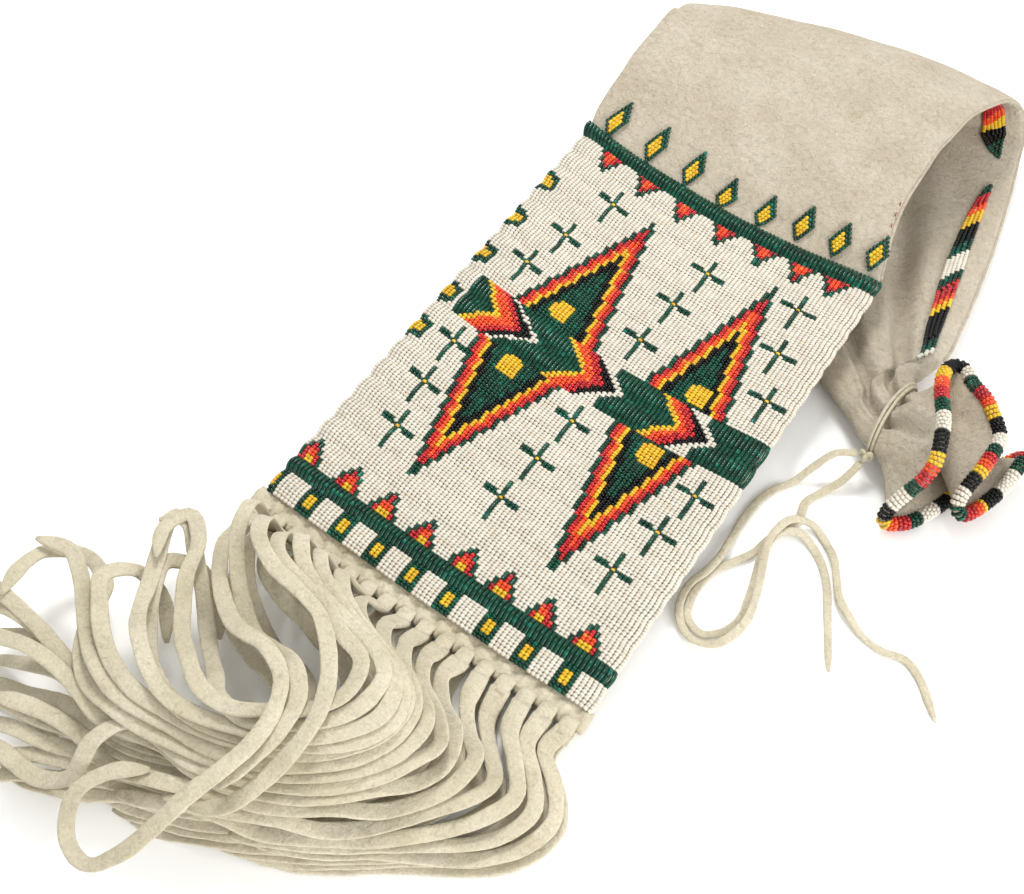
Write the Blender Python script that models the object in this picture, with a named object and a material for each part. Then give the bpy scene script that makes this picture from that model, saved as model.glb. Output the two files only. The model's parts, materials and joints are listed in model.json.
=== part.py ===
"""A beaded pipe bag of soft white hide, lying folded over on a table.

The bag is one long flat tube of hide. Its lower end carries a panel of bead lanes and a slotted hem with
doubled thongs looped through it. The plain upper part folds back under itself, is gathered to a neck by a
thong, and ends in a flared mouth with a beaded roll along its edge.
X runs across the bead panel, Y up the bag from fringe to fold, and Z up from the table.
"""

import math

import bmesh
import bpy
import numpy as np
from mathutils import Vector

MM = 0.001
GAP = 0.3 * MM  # between pieces that touch

# Hide tube
BAG_WIDTH = 166 * MM
BAG_HALF_THICKNESS = 3.5 * MM
HIDE = 1.2 * MM
RING_POINTS = 40
RING_SPACING = 10 * MM
PLEATS = 4  # ridges across one face of the gathered neck

# Bead panel: from the hem, a lane of blocks, a band, the wide lanes and a second band
PANEL_WIDTH = 170 * MM
PANEL_LENGTH = 257 * MM  # straight length of hide beneath it
PANEL_SLOPE = math.radians(5)  # the panel climbs onto the folded part beneath it
COLUMNS = 82
LANES = 18
LANE = 12.9 * MM
BAND = 7.8 * MM
TOP_EDGE = (251 * MM, -5 * MM, 10 * MM)  # where the panel ends: its middle, its lean to the right, its sag
GROUND_THICKNESS = 1.0 * MM
LANE_RISE = 0.9 * MM
FIELD_THICKNESS = 0.7 * MM
EDGE_DROOP = 0.35  # share of the tube's half thickness by which the panel rounds down at its sides
DIAMONDS = 8
DIAMOND_WIDTH = 12.5 * MM
DIAMOND_LENGTH = 19 * MM
DIAMOND_PITCH = 21.4 * MM
DIAMOND_START = -70 * MM

# Hem and thongs
HEM_BEYOND = 1 * MM  # how far the hem runs past the panel on each side
HEM_EDGE = (0.8 * MM, -5 * MM, -7.2 * MM)  # where the bag ends on its left, in its middle and on its right
HEM_LENGTH = 9.7 * MM
HEM_THICKNESS = 2.6 * MM
HEM_BAR = 2.2 * MM  # outer bar that the thongs loop round
SLOT_LENGTH = 7 * MM
SLOT_WIDTH = 3.2 * MM
THONGS = 17
HEM_END = 2.5 * MM  # hide left between the hem's ends and its outermost slots
THONG_WIDTH = 5.5 * MM
THONG_THICKNESS = 1.6 * MM
LOOP_CLEARANCE = 0.5 * MM
THONG_SPACING = 14 * MM  # between the points of a modelled thong

# Mouth, edging and tie
RIM_RADIUS = 3.6 * MM
EDGING_THICKNESS = 1.6 * MM
EDGING_MARGIN = 9 * MM  # the plain roll of hide left outside it
EDGING_WIDTH = 10 * MM
TIE_WIDTH = 3.6 * MM
TIE_THICKNESS = 1.5 * MM
KNOT_RADIUS = 3.6 * MM

# Laying the thongs on each other
TABLE_CLEARANCE = 0.25 * MM
CELL = 1 * MM
STEEPEST = 0.6
SELF_CLEARANCE = 22 * MM  # along a strip, before it counts as crossing over itself

HEM_HEIGHT = BAG_HALF_THICKNESS + 0.9 * MM
HEM_WIDTH = PANEL_WIDTH + 2 * HEM_BEYOND
THONG_PITCH = (HEM_WIDTH - 2 * HEM_END - SLOT_LENGTH) / (THONGS - 1)
COLUMN_WIDTH = PANEL_WIDTH / COLUMNS
FIRST_LANE = LANE + BAND
LANE_EDGES = [0, LANE, *(FIRST_LANE + k * LANE for k in range(LANES + 1)), FIRST_LANE + LANES * LANE + BAND]
PANEL_RISE = PANEL_LENGTH * math.sin(PANEL_SLOPE)
PANEL_REACH = PANEL_LENGTH * math.cos(PANEL_SLOPE)

# Left edge, middle and right edge of the flat tube, then its half thickness, its squareness and the depth
# of its pleats, in millimetres beyond the top of the panel. Each row is one station along the bag.
BEYOND_PANEL = (
    ((-86, 14, 9), (-4, 15, 9), (79, 11, 10), 3.5, 4, 0),
    ((-87, 43, 21), (-6, 39, 20), (74, 33, 20), 3.6, 4, 0),
    ((-87, 71, 27), (-7, 67, 26), (73, 58, 25), 3.8, 4, 0),
    ((-87, 93, 25), (-6, 97, 28), (74, 88, 28), 4, 3.6, 0),
    ((-86, 111, 16), (-3, 129, 24), (79, 121, 27), 4, 3.4, 0),
    ((-84, 120, 3), (1, 145, 14), (86, 144, 21), 4, 3.4, 0),
    ((-79, 120, -10), (5, 149, 2), (92, 158, 10), 4, 3.4, 0),
    ((-66, 106, -17), (11, 142, -10), (97, 162, -3), 4.4, 3.4, 0),
    ((-46, 81, -20.5), (22, 121, -17.5), (103, 150, -14), 5.5, 3.2, 0.3),
    ((-16, 43, -21), (40, 83, -20.6), (110, 121, -19), 6.5, 3, 0.8),
    ((17, 5, -20.6), (57, 48, -20.5), (117, 83, -19), 7, 2.8, 1.4),
    ((50, -26, -20), (76, 14, -20), (122, 48, -18.5), 7.2, 2.6, 2.2),
    ((79, -49, -19), (93, -15, -19), (125.5, 15, -17.2), 7.5, 2.4, 2.8),
    ((103, -67, -16.5), (108, -38, -16), (127, -10, -14.5), 8, 2.2, 3.2),
    ((115.5, -78, -14.5), (115, -56, -12.5), (120.5, -33, -11), 8.3, 2, 3.2),
    ((123, -82, -13.5), (123, -62, -11.5), (125, -42, -9.5), 8.3, 2, 3.2),
)

# Middle line of the beaded roll round the mouth, once round from the top corner of the neck.
MOUTH_LINE = (
    (134.3, 229.8, 29), (131.6, 222, 31), (133.2, 211.5, 33.3), (137.5, 199, 36.5), (142.5, 188, 37.5),
    (146, 178, 36), (148.5, 169.5, 31), (147.5, 163, 25), (144, 157, 18), (141, 150.5, 11), (142, 148, 5.5),
    (149, 153, 4.5), (154.5, 161.5, 4.5), (158.5, 171.5, 4.5), (162, 182, 4.5), (165.5, 193, 4.5),
    (169.5, 203, 4.5), (173.5, 210, 5.5), (177.5, 213.5, 9.5), (180, 211, 14.5), (180, 204, 15),
    (179, 195, 12), (176.4, 183.8, 11.5), (172.4, 172.9, 11), (169.2, 167.8, 11.5), (165.9, 167.5, 14),
    (164.7, 170.9, 17.5), (165.4, 177.2, 21), (166.8, 185, 24), (167.3, 193, 25.5), (167.5, 200, 25),
    (166.8, 206, 25), (163.5, 210.5, 26.3), (158.5, 214.5, 28.5), (153.5, 218.5, 30), (149, 220.5, 30.7),
    (144.2, 222.7, 31), (139.6, 228.4, 30.2),
)
MOUTH_SPLIT = 0.25  # share of the mouth that opens from the upper face of the neck
NECK_AXIS = (0.97, -0.15, 0.2)
NECK_REACH = 4 * MM  # how far the gathers run on before the mouth opens
FLARE = (0.3, 0.15, 0.3)  # how early the mouth opens, along each axis
FOLD = (0.5, 0.6, 0.65, 0.72, 0.85)  # shares of the mouth between which a fold of it leans in over the lower side
FOLD_RISE = (0, -4.5 * MM, 0, 6 * MM, 0)  # sets the fold's two sides apart at those shares

# Routes of the thongs over the table, in millimetres, from the hem outwards: under tail, then over tail.
THONG_ROUTES = (
    (((-77, -20), (-69, -39), (-58, -54), (-45, -64), (-27, -73), (-11, -79), (-1, -87), (2, -104), (-5, -122),
      (-20, -133), (-39, -140)),
     ((-79, -20), (-74, -37), (-63, -52), (-47, -66), (-30, -75), (-15, -76), (-5, -84), (1, -100), (-1, -121),
      (-7, -139), (-14, -156), (-22, -166), (-37, -164), (-44, -153), (-39, -139), (-28, -130))),
    (((-69, -18), (-63, -34), (-52, -48), (-36, -58), (-16, -63), (-3, -72), (2, -85), (-11, -99), (-31, -110),
      (-47, -120), (-69, -120), (-94, -112), (-120, -108), (-138, -107)),
     ((-69, -20), (-64, -37), (-55, -50), (-42, -61), (-28, -69), (-12, -72), (-1, -79), (5, -90), (4, -107),
      (0, -125))),
    (((-59, -18), (-55, -35), (-43, -44), (-24, -49), (-1, -55), (10, -63), (11, -78), (-3, -96), (-26, -110),
      (-43, -119), (-60, -122), (-84, -114), (-108, -110), (-131, -113)),
     ((-61, -20), (-57, -33), (-46, -44), (-30, -48), (-14, -52), (-1, -62), (9, -76), (14, -95), (11, -113),
      (5, -126), (-8, -133))),
    (((-51, -21), (-46, -35), (-33, -44), (-16, -51), (4, -56), (13, -66), (13, -81), (-4, -100), (-24, -112),
      (-41, -120), (-58, -124), (-77, -118), (-98, -115), (-119, -118), (-130, -121)),
     ((-51, -21), (-48, -34), (-37, -43), (-18, -46), (-3, -53), (11, -58), (15, -68), (11, -81), (-8, -96),
      (-22, -102), (-38, -95), (-58, -79), (-71, -61), (-78, -45), (-90, -41), (-91, -50), (-84, -64))),
    (((-41, -22), (-38, -34), (-23, -42), (-6, -49), (12, -55), (19, -66), (18, -81), (2, -100), (-18, -112),
      (-36, -121), (-54, -124), (-69, -120), (-86, -118), (-108, -120), (-124, -124)),
     ((-43, -21), (-38, -32), (-26, -41), (-11, -46), (7, -49), (20, -56), (22, -67), (19, -79), (1, -95),
      (-16, -101), (-34, -88), (-54, -71), (-71, -55), (-92, -42), (-96, -49))),
    (((-32, -21), (-28, -33), (-13, -40), (2, -46), (18, -53), (23, -64), (23, -80), (6, -100), (-14, -112),
      (-32, -121), (-49, -126), (-65, -126), (-82, -126), (-100, -128), (-116, -130)),
     ((-34, -21), (-29, -32), (-18, -39), (-5, -45), (13, -50), (24, -56), (30, -65), (23, -82), (5, -97),
      (-17, -106), (-37, -109), (-57, -100), (-73, -85), (-84, -65), (-99, -37))),
    (((-23, -21), (-19, -33), (-8, -43), (10, -47), (24, -53), (31, -64), (26, -82), (10, -101), (-10, -114),
      (-29, -123), (-46, -128), (-60, -129), (-70, -133), (-84, -136), (-106, -139)),
     ((-24, -21), (-19, -31), (-9, -40), (5, -46), (21, -51), (30, -58), (33, -68), (26, -85), (7, -98),
      (-14, -107), (-32, -109), (-51, -102), (-66, -89), (-77, -75), (-83, -63), (-77, -53), (-64, -56), (-50, -69))),
    (((-11, -22), (-7, -34), (5, -43), (21, -47), (32, -55), (34, -68), (28, -85), (12, -103), (-7, -115),
      (-25, -124), (-42, -130), (-55, -134), (-70, -140), (-85, -143), (-101, -146)),
     ((-13, -23), (-9, -33), (-1, -42), (15, -48), (29, -54), (34, -64), (31, -78), (18, -94), (-1, -104),
      (-19, -110), (-36, -112), (-54, -112), (-71, -105), (-84, -94), (-94, -83), (-90, -71), (-78, -70), (-66, -82))),
    (((0, -23), (5, -34), (16, -42), (30, -49), (37, -58), (38, -71), (31, -87), (15, -104), (-4, -116),
      (-20, -125), (-36, -131), (-50, -136), (-64, -142), (-76, -148), (-86, -157)),
     ((-1, -23), (3, -33), (11, -43), (26, -50), (35, -58), (37, -69), (32, -84), (16, -100), (-2, -110),
      (-20, -114), (-35, -115), (-51, -117), (-70, -112), (-85, -101), (-104, -85), (-119, -78), (-131, -82))),
    (((10, -22), (14, -34), (25, -43), (38, -51), (43, -61), (43, -74), (34, -89), (19, -106), (0, -117),
      (-16, -127), (-32, -133), (-46, -138), (-58, -146), (-71, -153), (-84, -162)),
     ((9, -23), (13, -33), (20, -43), (35, -52), (42, -60), (42, -72), (34, -87), (20, -101), (1, -111),
      (-18, -117), (-34, -120), (-52, -121), (-73, -116), (-89, -96), (-102, -77), (-115, -71), (-125, -77),
      (-125, -92), (-122, -109))),
    (((21, -24), (25, -37), (36, -46), (46, -53), (50, -63), (47, -77), (37, -92), (22, -108), (3, -119),
      (-12, -128), (-28, -135), (-42, -140), (-52, -148), (-69, -152), (-88, -151)),
     ((20, -24), (23, -35), (31, -45), (44, -53), (49, -61), (46, -74), (38, -89), (23, -103), (5, -113),
      (-15, -120), (-31, -120), (-44, -120), (-51, -131), (-52, -147), (-66, -152), (-91, -151))),
    (((30, -26), (35, -37), (45, -47), (54, -54), (56, -65), (51, -80), (39, -94), (24, -109), (7, -120),
      (-9, -130), (-24, -136), (-39, -140), (-56, -140), (-74, -136), (-89, -132), (-103, -133), (-114, -136)),
     ((29, -25), (32, -36), (42, -46), (51, -53), (54, -64), (50, -77), (40, -91), (26, -105), (8, -115),
      (-11, -121), (-27, -120), (-40, -122), (-57, -125), (-77, -120), (-96, -119), (-115, -122), (-125, -124))),
    (((43, -29), (48, -40), (57, -48), (64, -58), (62, -70), (54, -84), (43, -97), (27, -112), (9, -122),
      (-6, -131), (-22, -137), (-40, -142)),
     ((42, -29), (46, -39), (56, -48), (62, -57), (60, -69), (53, -82), (42, -95), (27, -108), (10, -118),
      (-8, -124), (-23, -131), (-43, -135), (-64, -132), (-82, -134), (-100, -139))),
    (((52, -26), (56, -38), (66, -46), (73, -55), (72, -68), (62, -83), (47, -99), (30, -113), (12, -124),
      (-3, -132), (-19, -137), (-33, -141)),
     ((51, -26), (54, -36), (64, -46), (70, -54), (68, -67), (58, -82), (45, -98), (29, -111), (13, -120),
      (-4, -128), (-19, -134))),
    (((61, -25), (66, -36), (76, -44), (83, -54), (82, -67), (71, -82), (54, -98), (35, -112), (17, -123),
      (2, -131)),
     ((59, -25), (64, -34), (73, -44), (80, -54), (77, -67), (66, -83), (51, -98), (32, -111), (14, -122),
      (-1, -128), (-14, -132))),
    (((70, -25), (75, -36), (85, -44), (91, -53), (91, -65), (81, -80), (63, -92), (44, -107), (25, -120),
      (8, -128)),
     ((68, -25), (72, -34), (82, -44), (88, -53), (86, -66), (75, -81), (56, -95), (37, -110), (19, -120),
      (4, -128))),
    (((77, -25), (83, -35), (93, -42), (98, -51), (97, -64), (87, -79), (71, -90), (52, -102), (35, -115),
      (16, -125)),
     ((76, -25), (81, -34), (91, -42), (96, -51), (94, -64), (83, -80), (67, -91), (48, -103), (30, -116),
      (11, -125))),
)

TIE_ROUTES = (
    ((115, 169), (107, 162), (100, 149), (92, 134), (90, 121), (90, 108), (91, 94), (90, 82), (87, 71),
     (88, 60), (91, 54), (99, 48), (107, 49), (113, 58), (115, 71), (111, 88), (105, 107), (106, 122),
     (111, 128), (120, 129), (132, 119), (143, 102), (157, 93), (169, 91), (178, 93), (186, 89), (200, 74)),
    ((119.5, 162), (116, 156), (111, 147), (108, 137), (110, 128), (105, 116), (101, 100), (93, 86), (90, 72),
     (93, 58), (100, 53), (104, 54), (112, 65), (110, 84), (105, 106), (107, 119), (117, 122), (131, 112),
     (143, 91), (154, 69)),
)


def clear_scene():
    for found in list(bpy.data.objects):
        bpy.data.objects.remove(found)


def material(name, colour, roughness, metallic=0.0):
    made = bpy.data.materials.new(name)
    made.use_nodes = True
    shader = made.node_tree.nodes["Principled BSDF"]
    shader.inputs["Base Color"].default_value = (*colour, 1)
    shader.inputs["Roughness"].default_value = roughness
    shader.inputs["Metallic"].default_value = metallic
    return made


def curve_through(points, fraction):
    """The point at a fraction, from 0 to 1, of a smooth curve through points (centripetal Catmull-Rom)."""
    points = np.asarray(points, float)
    steps = np.sqrt(np.linalg.norm(np.diff(points, axis=0), axis=1))
    ends = np.vstack([2 * points[0] - points[1], points, 2 * points[-1] - points[-2]])
    knots = np.concatenate([[-steps[0]], [0], np.cumsum(steps), [steps.sum() + steps[-1]]])
    at = np.clip(fraction, 0, 1) * steps.sum()
    i = int(np.clip(np.searchsorted(knots, at, side="right") - 1, 1, len(points) - 1))
    t0, t1, t2, t3 = knots[i - 1 : i + 3]
    p0, p1, p2, p3 = ends[i - 1 : i + 3]
    a1 = (p0 * (t1 - at) + p1 * (at - t0)) / (t1 - t0)
    a2 = (p1 * (t2 - at) + p2 * (at - t1)) / (t2 - t1)
    a3 = (p2 * (t3 - at) + p3 * (at - t2)) / (t3 - t2)
    b1 = (a1 * (t2 - at) + a2 * (at - t0)) / (t2 - t0)
    b2 = (a2 * (t3 - at) + a3 * (at - t1)) / (t3 - t1)
    return (b1 * (t2 - at) + b2 * (at - t1)) / (t2 - t1)


def evenly_along(points, spacing):
    """Points at even steps along the smooth curve through points."""
    fine = np.array([curve_through(points, f) for f in np.linspace(0, 1, 12 * len(points))])
    length = np.concatenate([[0], np.cumsum(np.linalg.norm(np.diff(fine, axis=0), axis=1))])
    count = max(2, round(length[-1] / spacing) + 1)
    at = np.linspace(0, length[-1], count)
    return np.stack([np.interp(at, length, fine[:, k]) for k in range(fine.shape[1])], axis=1)


def unit(vector):
    return vector / np.linalg.norm(vector)


def stations():
    """Rows of left, middle, right, half thickness, squareness and pleat depth, in metres."""
    half = BAG_WIDTH / 2
    rows = []
    for ends, z in ((HEM_EDGE, BAG_HALF_THICKNESS), ((PANEL_REACH,) * 3, BAG_HALF_THICKNESS + PANEL_RISE)):
        left, middle, right = ends
        rows.append([-half, left, z, 0, middle, z, half, right, z, BAG_HALF_THICKNESS, 4, 0])
    top = np.array([0, rows[1][1], rows[1][2]])
    for left, middle, right, thickness, squareness, pleat in BEYOND_PANEL:
        edges = [np.array(p) * MM + top for p in (left, middle, right)]
        rows.append([*edges[0], *edges[1], *edges[2], thickness * MM, squareness, pleat * MM])
    return np.array(rows)


class HideTube:
    """The flat tube's shape: v runs along its middle from the hem, x runs from -1 to 1 across it."""

    def __init__(self):
        rows = stations()
        lead = rows[1] + (rows[0] - rows[1]) * 0.06  # holds the curve straight where the panel ends
        self.rows = np.vstack([lead, rows[1:]])
        self.start = rows[0]
        fractions = np.linspace(0, 1, 400)
        fine = np.array([curve_through(self.rows, f) for f in fractions])
        steps = np.linalg.norm(np.diff(fine[:, 3:6], axis=0), axis=1)
        along = np.concatenate([[0], np.cumsum(steps)])
        self.fractions = fractions
        self.along = along + PANEL_LENGTH - np.linalg.norm(lead[3:6] - rows[1][3:6])
        self.length = self.along[-1]

    def row(self, v):
        if v <= PANEL_LENGTH:
            return self.start + (self.rows[1] - self.start) * (v / PANEL_LENGTH)
        return curve_through(self.rows, np.interp(v, self.along, self.fractions))

    def across(self, row, x):
        left, middle, right = row[0:3], row[3:6], row[6:9]
        bend = (left + right) / 2 - middle
        return middle + x * (right - left) / 2 + x * x * bend, (right - left) / 2 + 2 * x * bend

    def frame(self, v, x):
        """The point on the middle sheet, and the direction out of the face that carries the beads."""
        step = 1 * MM
        low, high = max(v - step, 0), min(v + step, self.length)
        row = self.row(v)
        calm = 0.6 * x  # the edges turn too sharply at the neck to give a direction
        forward = self.across(self.row(high), calm)[0] - self.across(self.row(low), calm)[0]
        return self.across(row, x)[0], unit(np.cross(self.across(row, calm)[1], forward))

    def skin(self, v, x, offset):
        """A point beneath the sheet's inner face, the one that faces up where the bag lies folded back."""
        row = self.row(v)
        here, out = self.frame(v, x)
        return here - out * (row[9] * (1 - abs(x) ** row[10]) ** (1 / row[10]) + offset)

    def ring(self, v, grow=0.0, pleated=True):
        """One closed section, flattened where it rests on the table."""
        row = self.row(v)
        thick, squareness, pleat = row[9:12]
        width = np.linalg.norm(row[6:9] - row[0:3]) / 2
        points = []
        for k in range(RING_POINTS):
            angle = 2 * math.pi * k / RING_POINTS
            c, s = math.cos(angle), math.sin(angle)
            x = math.copysign(abs(c) ** (2 / squareness), c) * (1 + grow / width)
            z = math.copysign(abs(s) ** (2 / squareness), s) * (thick + grow)
            if pleated and abs(x) < 0.8:
                valley = abs(math.cos(math.pi * PLEATS * (x + 1) / 2)) ** 3
                z -= math.copysign(pleat * valley, s)
            here, out = self.frame(v, x)
            point = here + out * z
            point[2] = max(point[2], 0)
            points.append(point)
        return np.array(points)


def link(name, data, finish):
    made = bpy.data.objects.new(name, data)
    data.materials.append(finish)
    bpy.context.scene.collection.objects.link(made)
    return made


def mesh_from(bm, name, finish, smooth=True):
    bmesh.ops.recalc_face_normals(bm, faces=bm.faces)
    data = bpy.data.meshes.new(name)
    bm.to_mesh(data)
    bm.free()
    made = link(name, data, finish)
    if smooth:
        data.shade_smooth()
        data.set_sharp_from_angle(angle=math.radians(50))
    return made


def lofted(name, rings, finish, smooth=True):
    """A closed body through closed rings, with a face across each end: a grid laid on the rings."""
    rings = np.asarray(rings)
    rows, points = rings.shape[:2]
    bm = bmesh.new()
    bmesh.ops.create_grid(bm, x_segments=points, y_segments=rows - 1, size=1)
    for vert in bm.verts:
        i = round((vert.co.y + 1) / 2 * (rows - 1))
        j = round((vert.co.x + 1) / 2 * points)
        vert.co = Vector(rings[i, j % points])
    bmesh.ops.remove_doubles(bm, verts=bm.verts, dist=1e-6)
    open_edges = [edge for edge in bm.edges if edge.is_boundary]
    bmesh.ops.holes_fill(bm, edges=open_edges, sides=0)
    bmesh.ops.triangulate(bm, faces=[face for face in bm.faces if len(face.verts) > 4])
    return mesh_from(bm, name, finish, smooth)


def looped(name, rings, finish, smooth=False):
    """A closed body like a bangle through closed rings, the last joined to the first."""
    rings = np.asarray(rings)
    rows, points = rings.shape[:2]
    bm = bmesh.new()
    bmesh.ops.create_grid(bm, x_segments=points, y_segments=rows, size=1)
    for vert in bm.verts:
        i = round((vert.co.y + 1) / 2 * rows)
        j = round((vert.co.x + 1) / 2 * points)
        vert.co = Vector(rings[i % rows, j % points])
    bmesh.ops.remove_doubles(bm, verts=bm.verts, dist=1e-6)
    return mesh_from(bm, name, finish, smooth)


def mouth_curve(count):
    """Points evenly round the middle line of the mouth's roll."""
    line = [Vector(p) * MM for p in MOUTH_LINE]
    closed = np.array(line[-2:] + line + line[:3])
    fine = np.array([curve_through(closed, f) for f in np.linspace(0, 1, 40 * len(closed))])
    first = int(np.argmin(np.linalg.norm(fine - np.array(line[0]), axis=1)[: len(fine) // 2]))
    past = np.linalg.norm(fine - np.array(line[0]), axis=1)
    last = len(fine) // 2 + int(np.argmin(past[len(fine) // 2 :]))
    once = fine[first : last + 1]
    length = np.concatenate([[0], np.cumsum(np.linalg.norm(np.diff(once, axis=0), axis=1))])
    at = np.linspace(0, length[-1], count, endpoint=False)
    return np.stack([np.interp(at, length, once[:, k]) for k in range(3)], axis=1)


def mouth_sheet(tube, neck):
    """Rings of the flared mouth, outside then back down its inside, from the last ring of the neck."""
    fine = mouth_curve(400)
    share = np.arange(RING_POINTS) / RING_POINTS
    mapped = np.where(share < 0.5, 1 - 2 * share * (1 - MOUTH_SPLIT), 2 * MOUTH_SPLIT * (1 - share))
    rim = fine[np.round(mapped * len(fine)).astype(int) % len(fine)]
    calm = tube.ring(tube.length, pleated=False)
    knee = calm + (rim - calm) * np.array(FLARE) + unit(np.array(NECK_AXIS)) * NECK_REACH
    knee[:, 2] += np.interp(mapped, FOLD, FOLD_RISE)
    toward = rim - knee
    edge = rim - toward / np.linalg.norm(toward, axis=1)[:, None] * RIM_RADIUS * 0.6
    outer = []
    for f in np.linspace(0, 1, 8):
        ring = (1 - f) ** 2 * neck + 2 * f * (1 - f) * knee + f**2 * edge
        ring[:, 2] = np.maximum(ring[:, 2], 0)
        outer.append(ring)
    outer = np.array(outer)
    along = np.gradient(outer, axis=0)
    around = (np.roll(outer, -1, axis=1) - np.roll(outer, 1, axis=1)) / 2
    normal = np.cross(along, around)
    normal /= np.linalg.norm(normal, axis=2)[:, :, None]
    outward = np.sign(((outer[1] - outer[1].mean(axis=0)) * normal[1]).sum())
    inner = outer - outward * normal * HIDE
    return list(outer[1:]) + list(inner[:3:-1])


def stops_beyond_panel(tube):
    count = round((tube.length - PANEL_LENGTH) / RING_SPACING)
    return list(np.linspace(PANEL_LENGTH, tube.length, count + 1))


def bag_body(tube, finish):
    rings = [tube.ring(v) for v in (0, PANEL_LENGTH / 2, *stops_beyond_panel(tube))]
    rings += mouth_sheet(tube, rings[-1])
    body = lofted("bag_body", rings, finish)
    cutter = mouth_rim("mouth_rim_clearance", RIM_RADIUS + GAP, finish)
    cutter.hide_render = True
    cutter.display_type = "WIRE"
    cut = body.modifiers.new("rim", "BOOLEAN")
    cut.operation = "DIFFERENCE"
    cut.solver = "EXACT"
    cut.use_self = True
    cut.object = cutter
    return body


def side_edging(tube, finish):
    """A beaded strip sewn along the right seam, from the panel over the fold to the neck."""
    rings = []
    for v in stops_beyond_panel(tube)[1:-3]:
        row = tube.row(v)
        half = np.linalg.norm(row[6:9] - row[0:3]) / 2
        narrowing = min(1, half / (BAG_WIDTH / 2) + 0.3)
        outer = 1 - EDGING_MARGIN * narrowing / half
        inner = outer - EDGING_WIDTH * narrowing / half
        xs = np.linspace(outer, inner, 4)
        low = [tube.skin(v, x, GAP) for x in xs]
        high = [tube.skin(v, x, GAP + EDGING_THICKNESS) for x in xs]
        rings.append([*low, *high[::-1]])
    return lofted("side_edging", rings, finish)


def lane_height(v):
    """How far the lane stands up at v, in straight runs so that fields of colour fit over it."""
    k = int(np.clip(np.searchsorted(LANE_EDGES, v, side="right") - 1, 0, len(LANE_EDGES) - 2))
    f = (v - LANE_EDGES[k]) / (LANE_EDGES[k + 1] - LANE_EDGES[k])
    return LANE_RISE * float(np.interp(f, (0, 0.22, 0.78, 1), (0, 1, 1, 0)))


def bead_point(tube, u, v, height):
    """A point over the panel: u across, v up the beadwork, height above the hide."""
    side = min(abs(2 * u / PANEL_WIDTH), 1)
    middle, lean, sag = TOP_EDGE
    up = v / LANE_EDGES[-1] * (middle + lean * (2 * u / PANEL_WIDTH) + sag * side**2)
    here, out = tube.frame(up, u / (BAG_WIDTH / 2))
    skin = tube.row(up)[9] * (1 - EDGE_DROOP * side**8)
    return here + out * (skin + GAP + height)


def bead_field(tube, name, outline, finish, bottom, top):
    """A flat outline in panel metres, cut along the lanes, thickened and laid over the panel."""
    bm = bmesh.new()
    bm.faces.new([bm.verts.new((u, v, 0)) for u, v in outline])
    cuts = [low + (high - low) * f for low, high in zip(LANE_EDGES, LANE_EDGES[1:]) for f in (0, 0.22, 0.78)]
    cuts += [LANE_EDGES[-1], LANE_EDGES[-1] + LANE]
    lines = [((0, v, 0), (0, 1, 0)) for v in cuts]
    shares = (-0.9, -0.76, -0.5, 0, 0.5, 0.76, 0.9)
    lines += [((share * PANEL_WIDTH / 2, 0, 0), (1, 0, 0)) for share in shares]
    for place, across in lines:
        bmesh.ops.bisect_plane(bm, geom=[*bm.verts, *bm.edges, *bm.faces], dist=1e-6,
                               plane_co=place, plane_no=across)
    bmesh.ops.triangulate(bm, faces=bm.faces)
    raised = bmesh.ops.extrude_face_region(bm, geom=bm.faces, use_keep_orig=True)["geom"]
    lifted = {element for element in raised if isinstance(element, bmesh.types.BMVert)}
    for vert in bm.verts:
        u, v, _ = vert.co
        vert.co = Vector(bead_point(tube, u, v, top(v) if vert in lifted else bottom(v)))
    return mesh_from(bm, name, finish, smooth=False)


def ground_top(v):
    return GROUND_THICKNESS + lane_height(v)


def field_bottom(v):
    return ground_top(v) + GAP


def field_top(v):
    return field_bottom(v) + FIELD_THICKNESS


def at(column, lane):
    """Panel place of a bead column, counted from the left side, and a height in wide lanes."""
    return column * COLUMN_WIDTH - PANEL_WIDTH / 2, FIRST_LANE + lane * LANE


def raised_field(tube, name, outline, finish):
    return bead_field(tube, name, [at(c, lane) for c, lane in outline], finish, field_bottom, field_top)


def band_outline(low, high, teeth, tooth_tip, blocks=(), block_end=0):
    """A band across the panel with pointed teeth on one side and square blocks on the other."""
    toothed, plain = (high, low) if tooth_tip > high else (low, high)
    line = [(0.3, toothed)]
    for column in teeth:
        line += [(column - 2.4, toothed), (column, tooth_tip), (column + 2.4, toothed)]
    line += [(COLUMNS - 0.3, toothed), (COLUMNS - 0.3, plain)]
    for column in reversed(blocks):
        line += [(column + 1.9, plain), (column + 1.9, block_end), (column - 1.9, block_end),
                 (column - 1.9, plain)]
    return line + [(0.3, plain)]


def tall_point(tube, name, base, tip, peak, finishes):
    """One half of a tall figure: a pointed border, and the field and window inside it."""
    left, right, lane = base
    border = 4.2
    rise = (peak - lane) * 2 * border / (right - left)
    inner_peak = peak - rise
    raised_field(tube, name + "_border", [
        (left, lane), (left + border, lane), (tip, inner_peak), (right - border, lane), (right, lane),
        (tip, peak),
    ], finishes[0])
    slack = 0.4
    middle = (left + right) / 2
    window = 2.1
    sill = lane + math.copysign(1.2, peak - lane)
    raised_field(tube, name + "_field", [
        (left + border + slack, lane), (middle - window, lane), (middle - window, sill),
        (middle + window, sill), (middle + window, lane), (right - border - slack, lane),
        (tip, inner_peak - slack * rise / border),
    ], finishes[1])
    inset = 0.3
    low = sill - math.copysign(0.05, peak - lane)
    raised_field(tube, name + "_window", [
        (middle - window + inset, lane), (middle + window - inset, lane), (middle + window - inset, low),
        (middle - window + inset, low),
    ], finishes[2])


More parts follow.
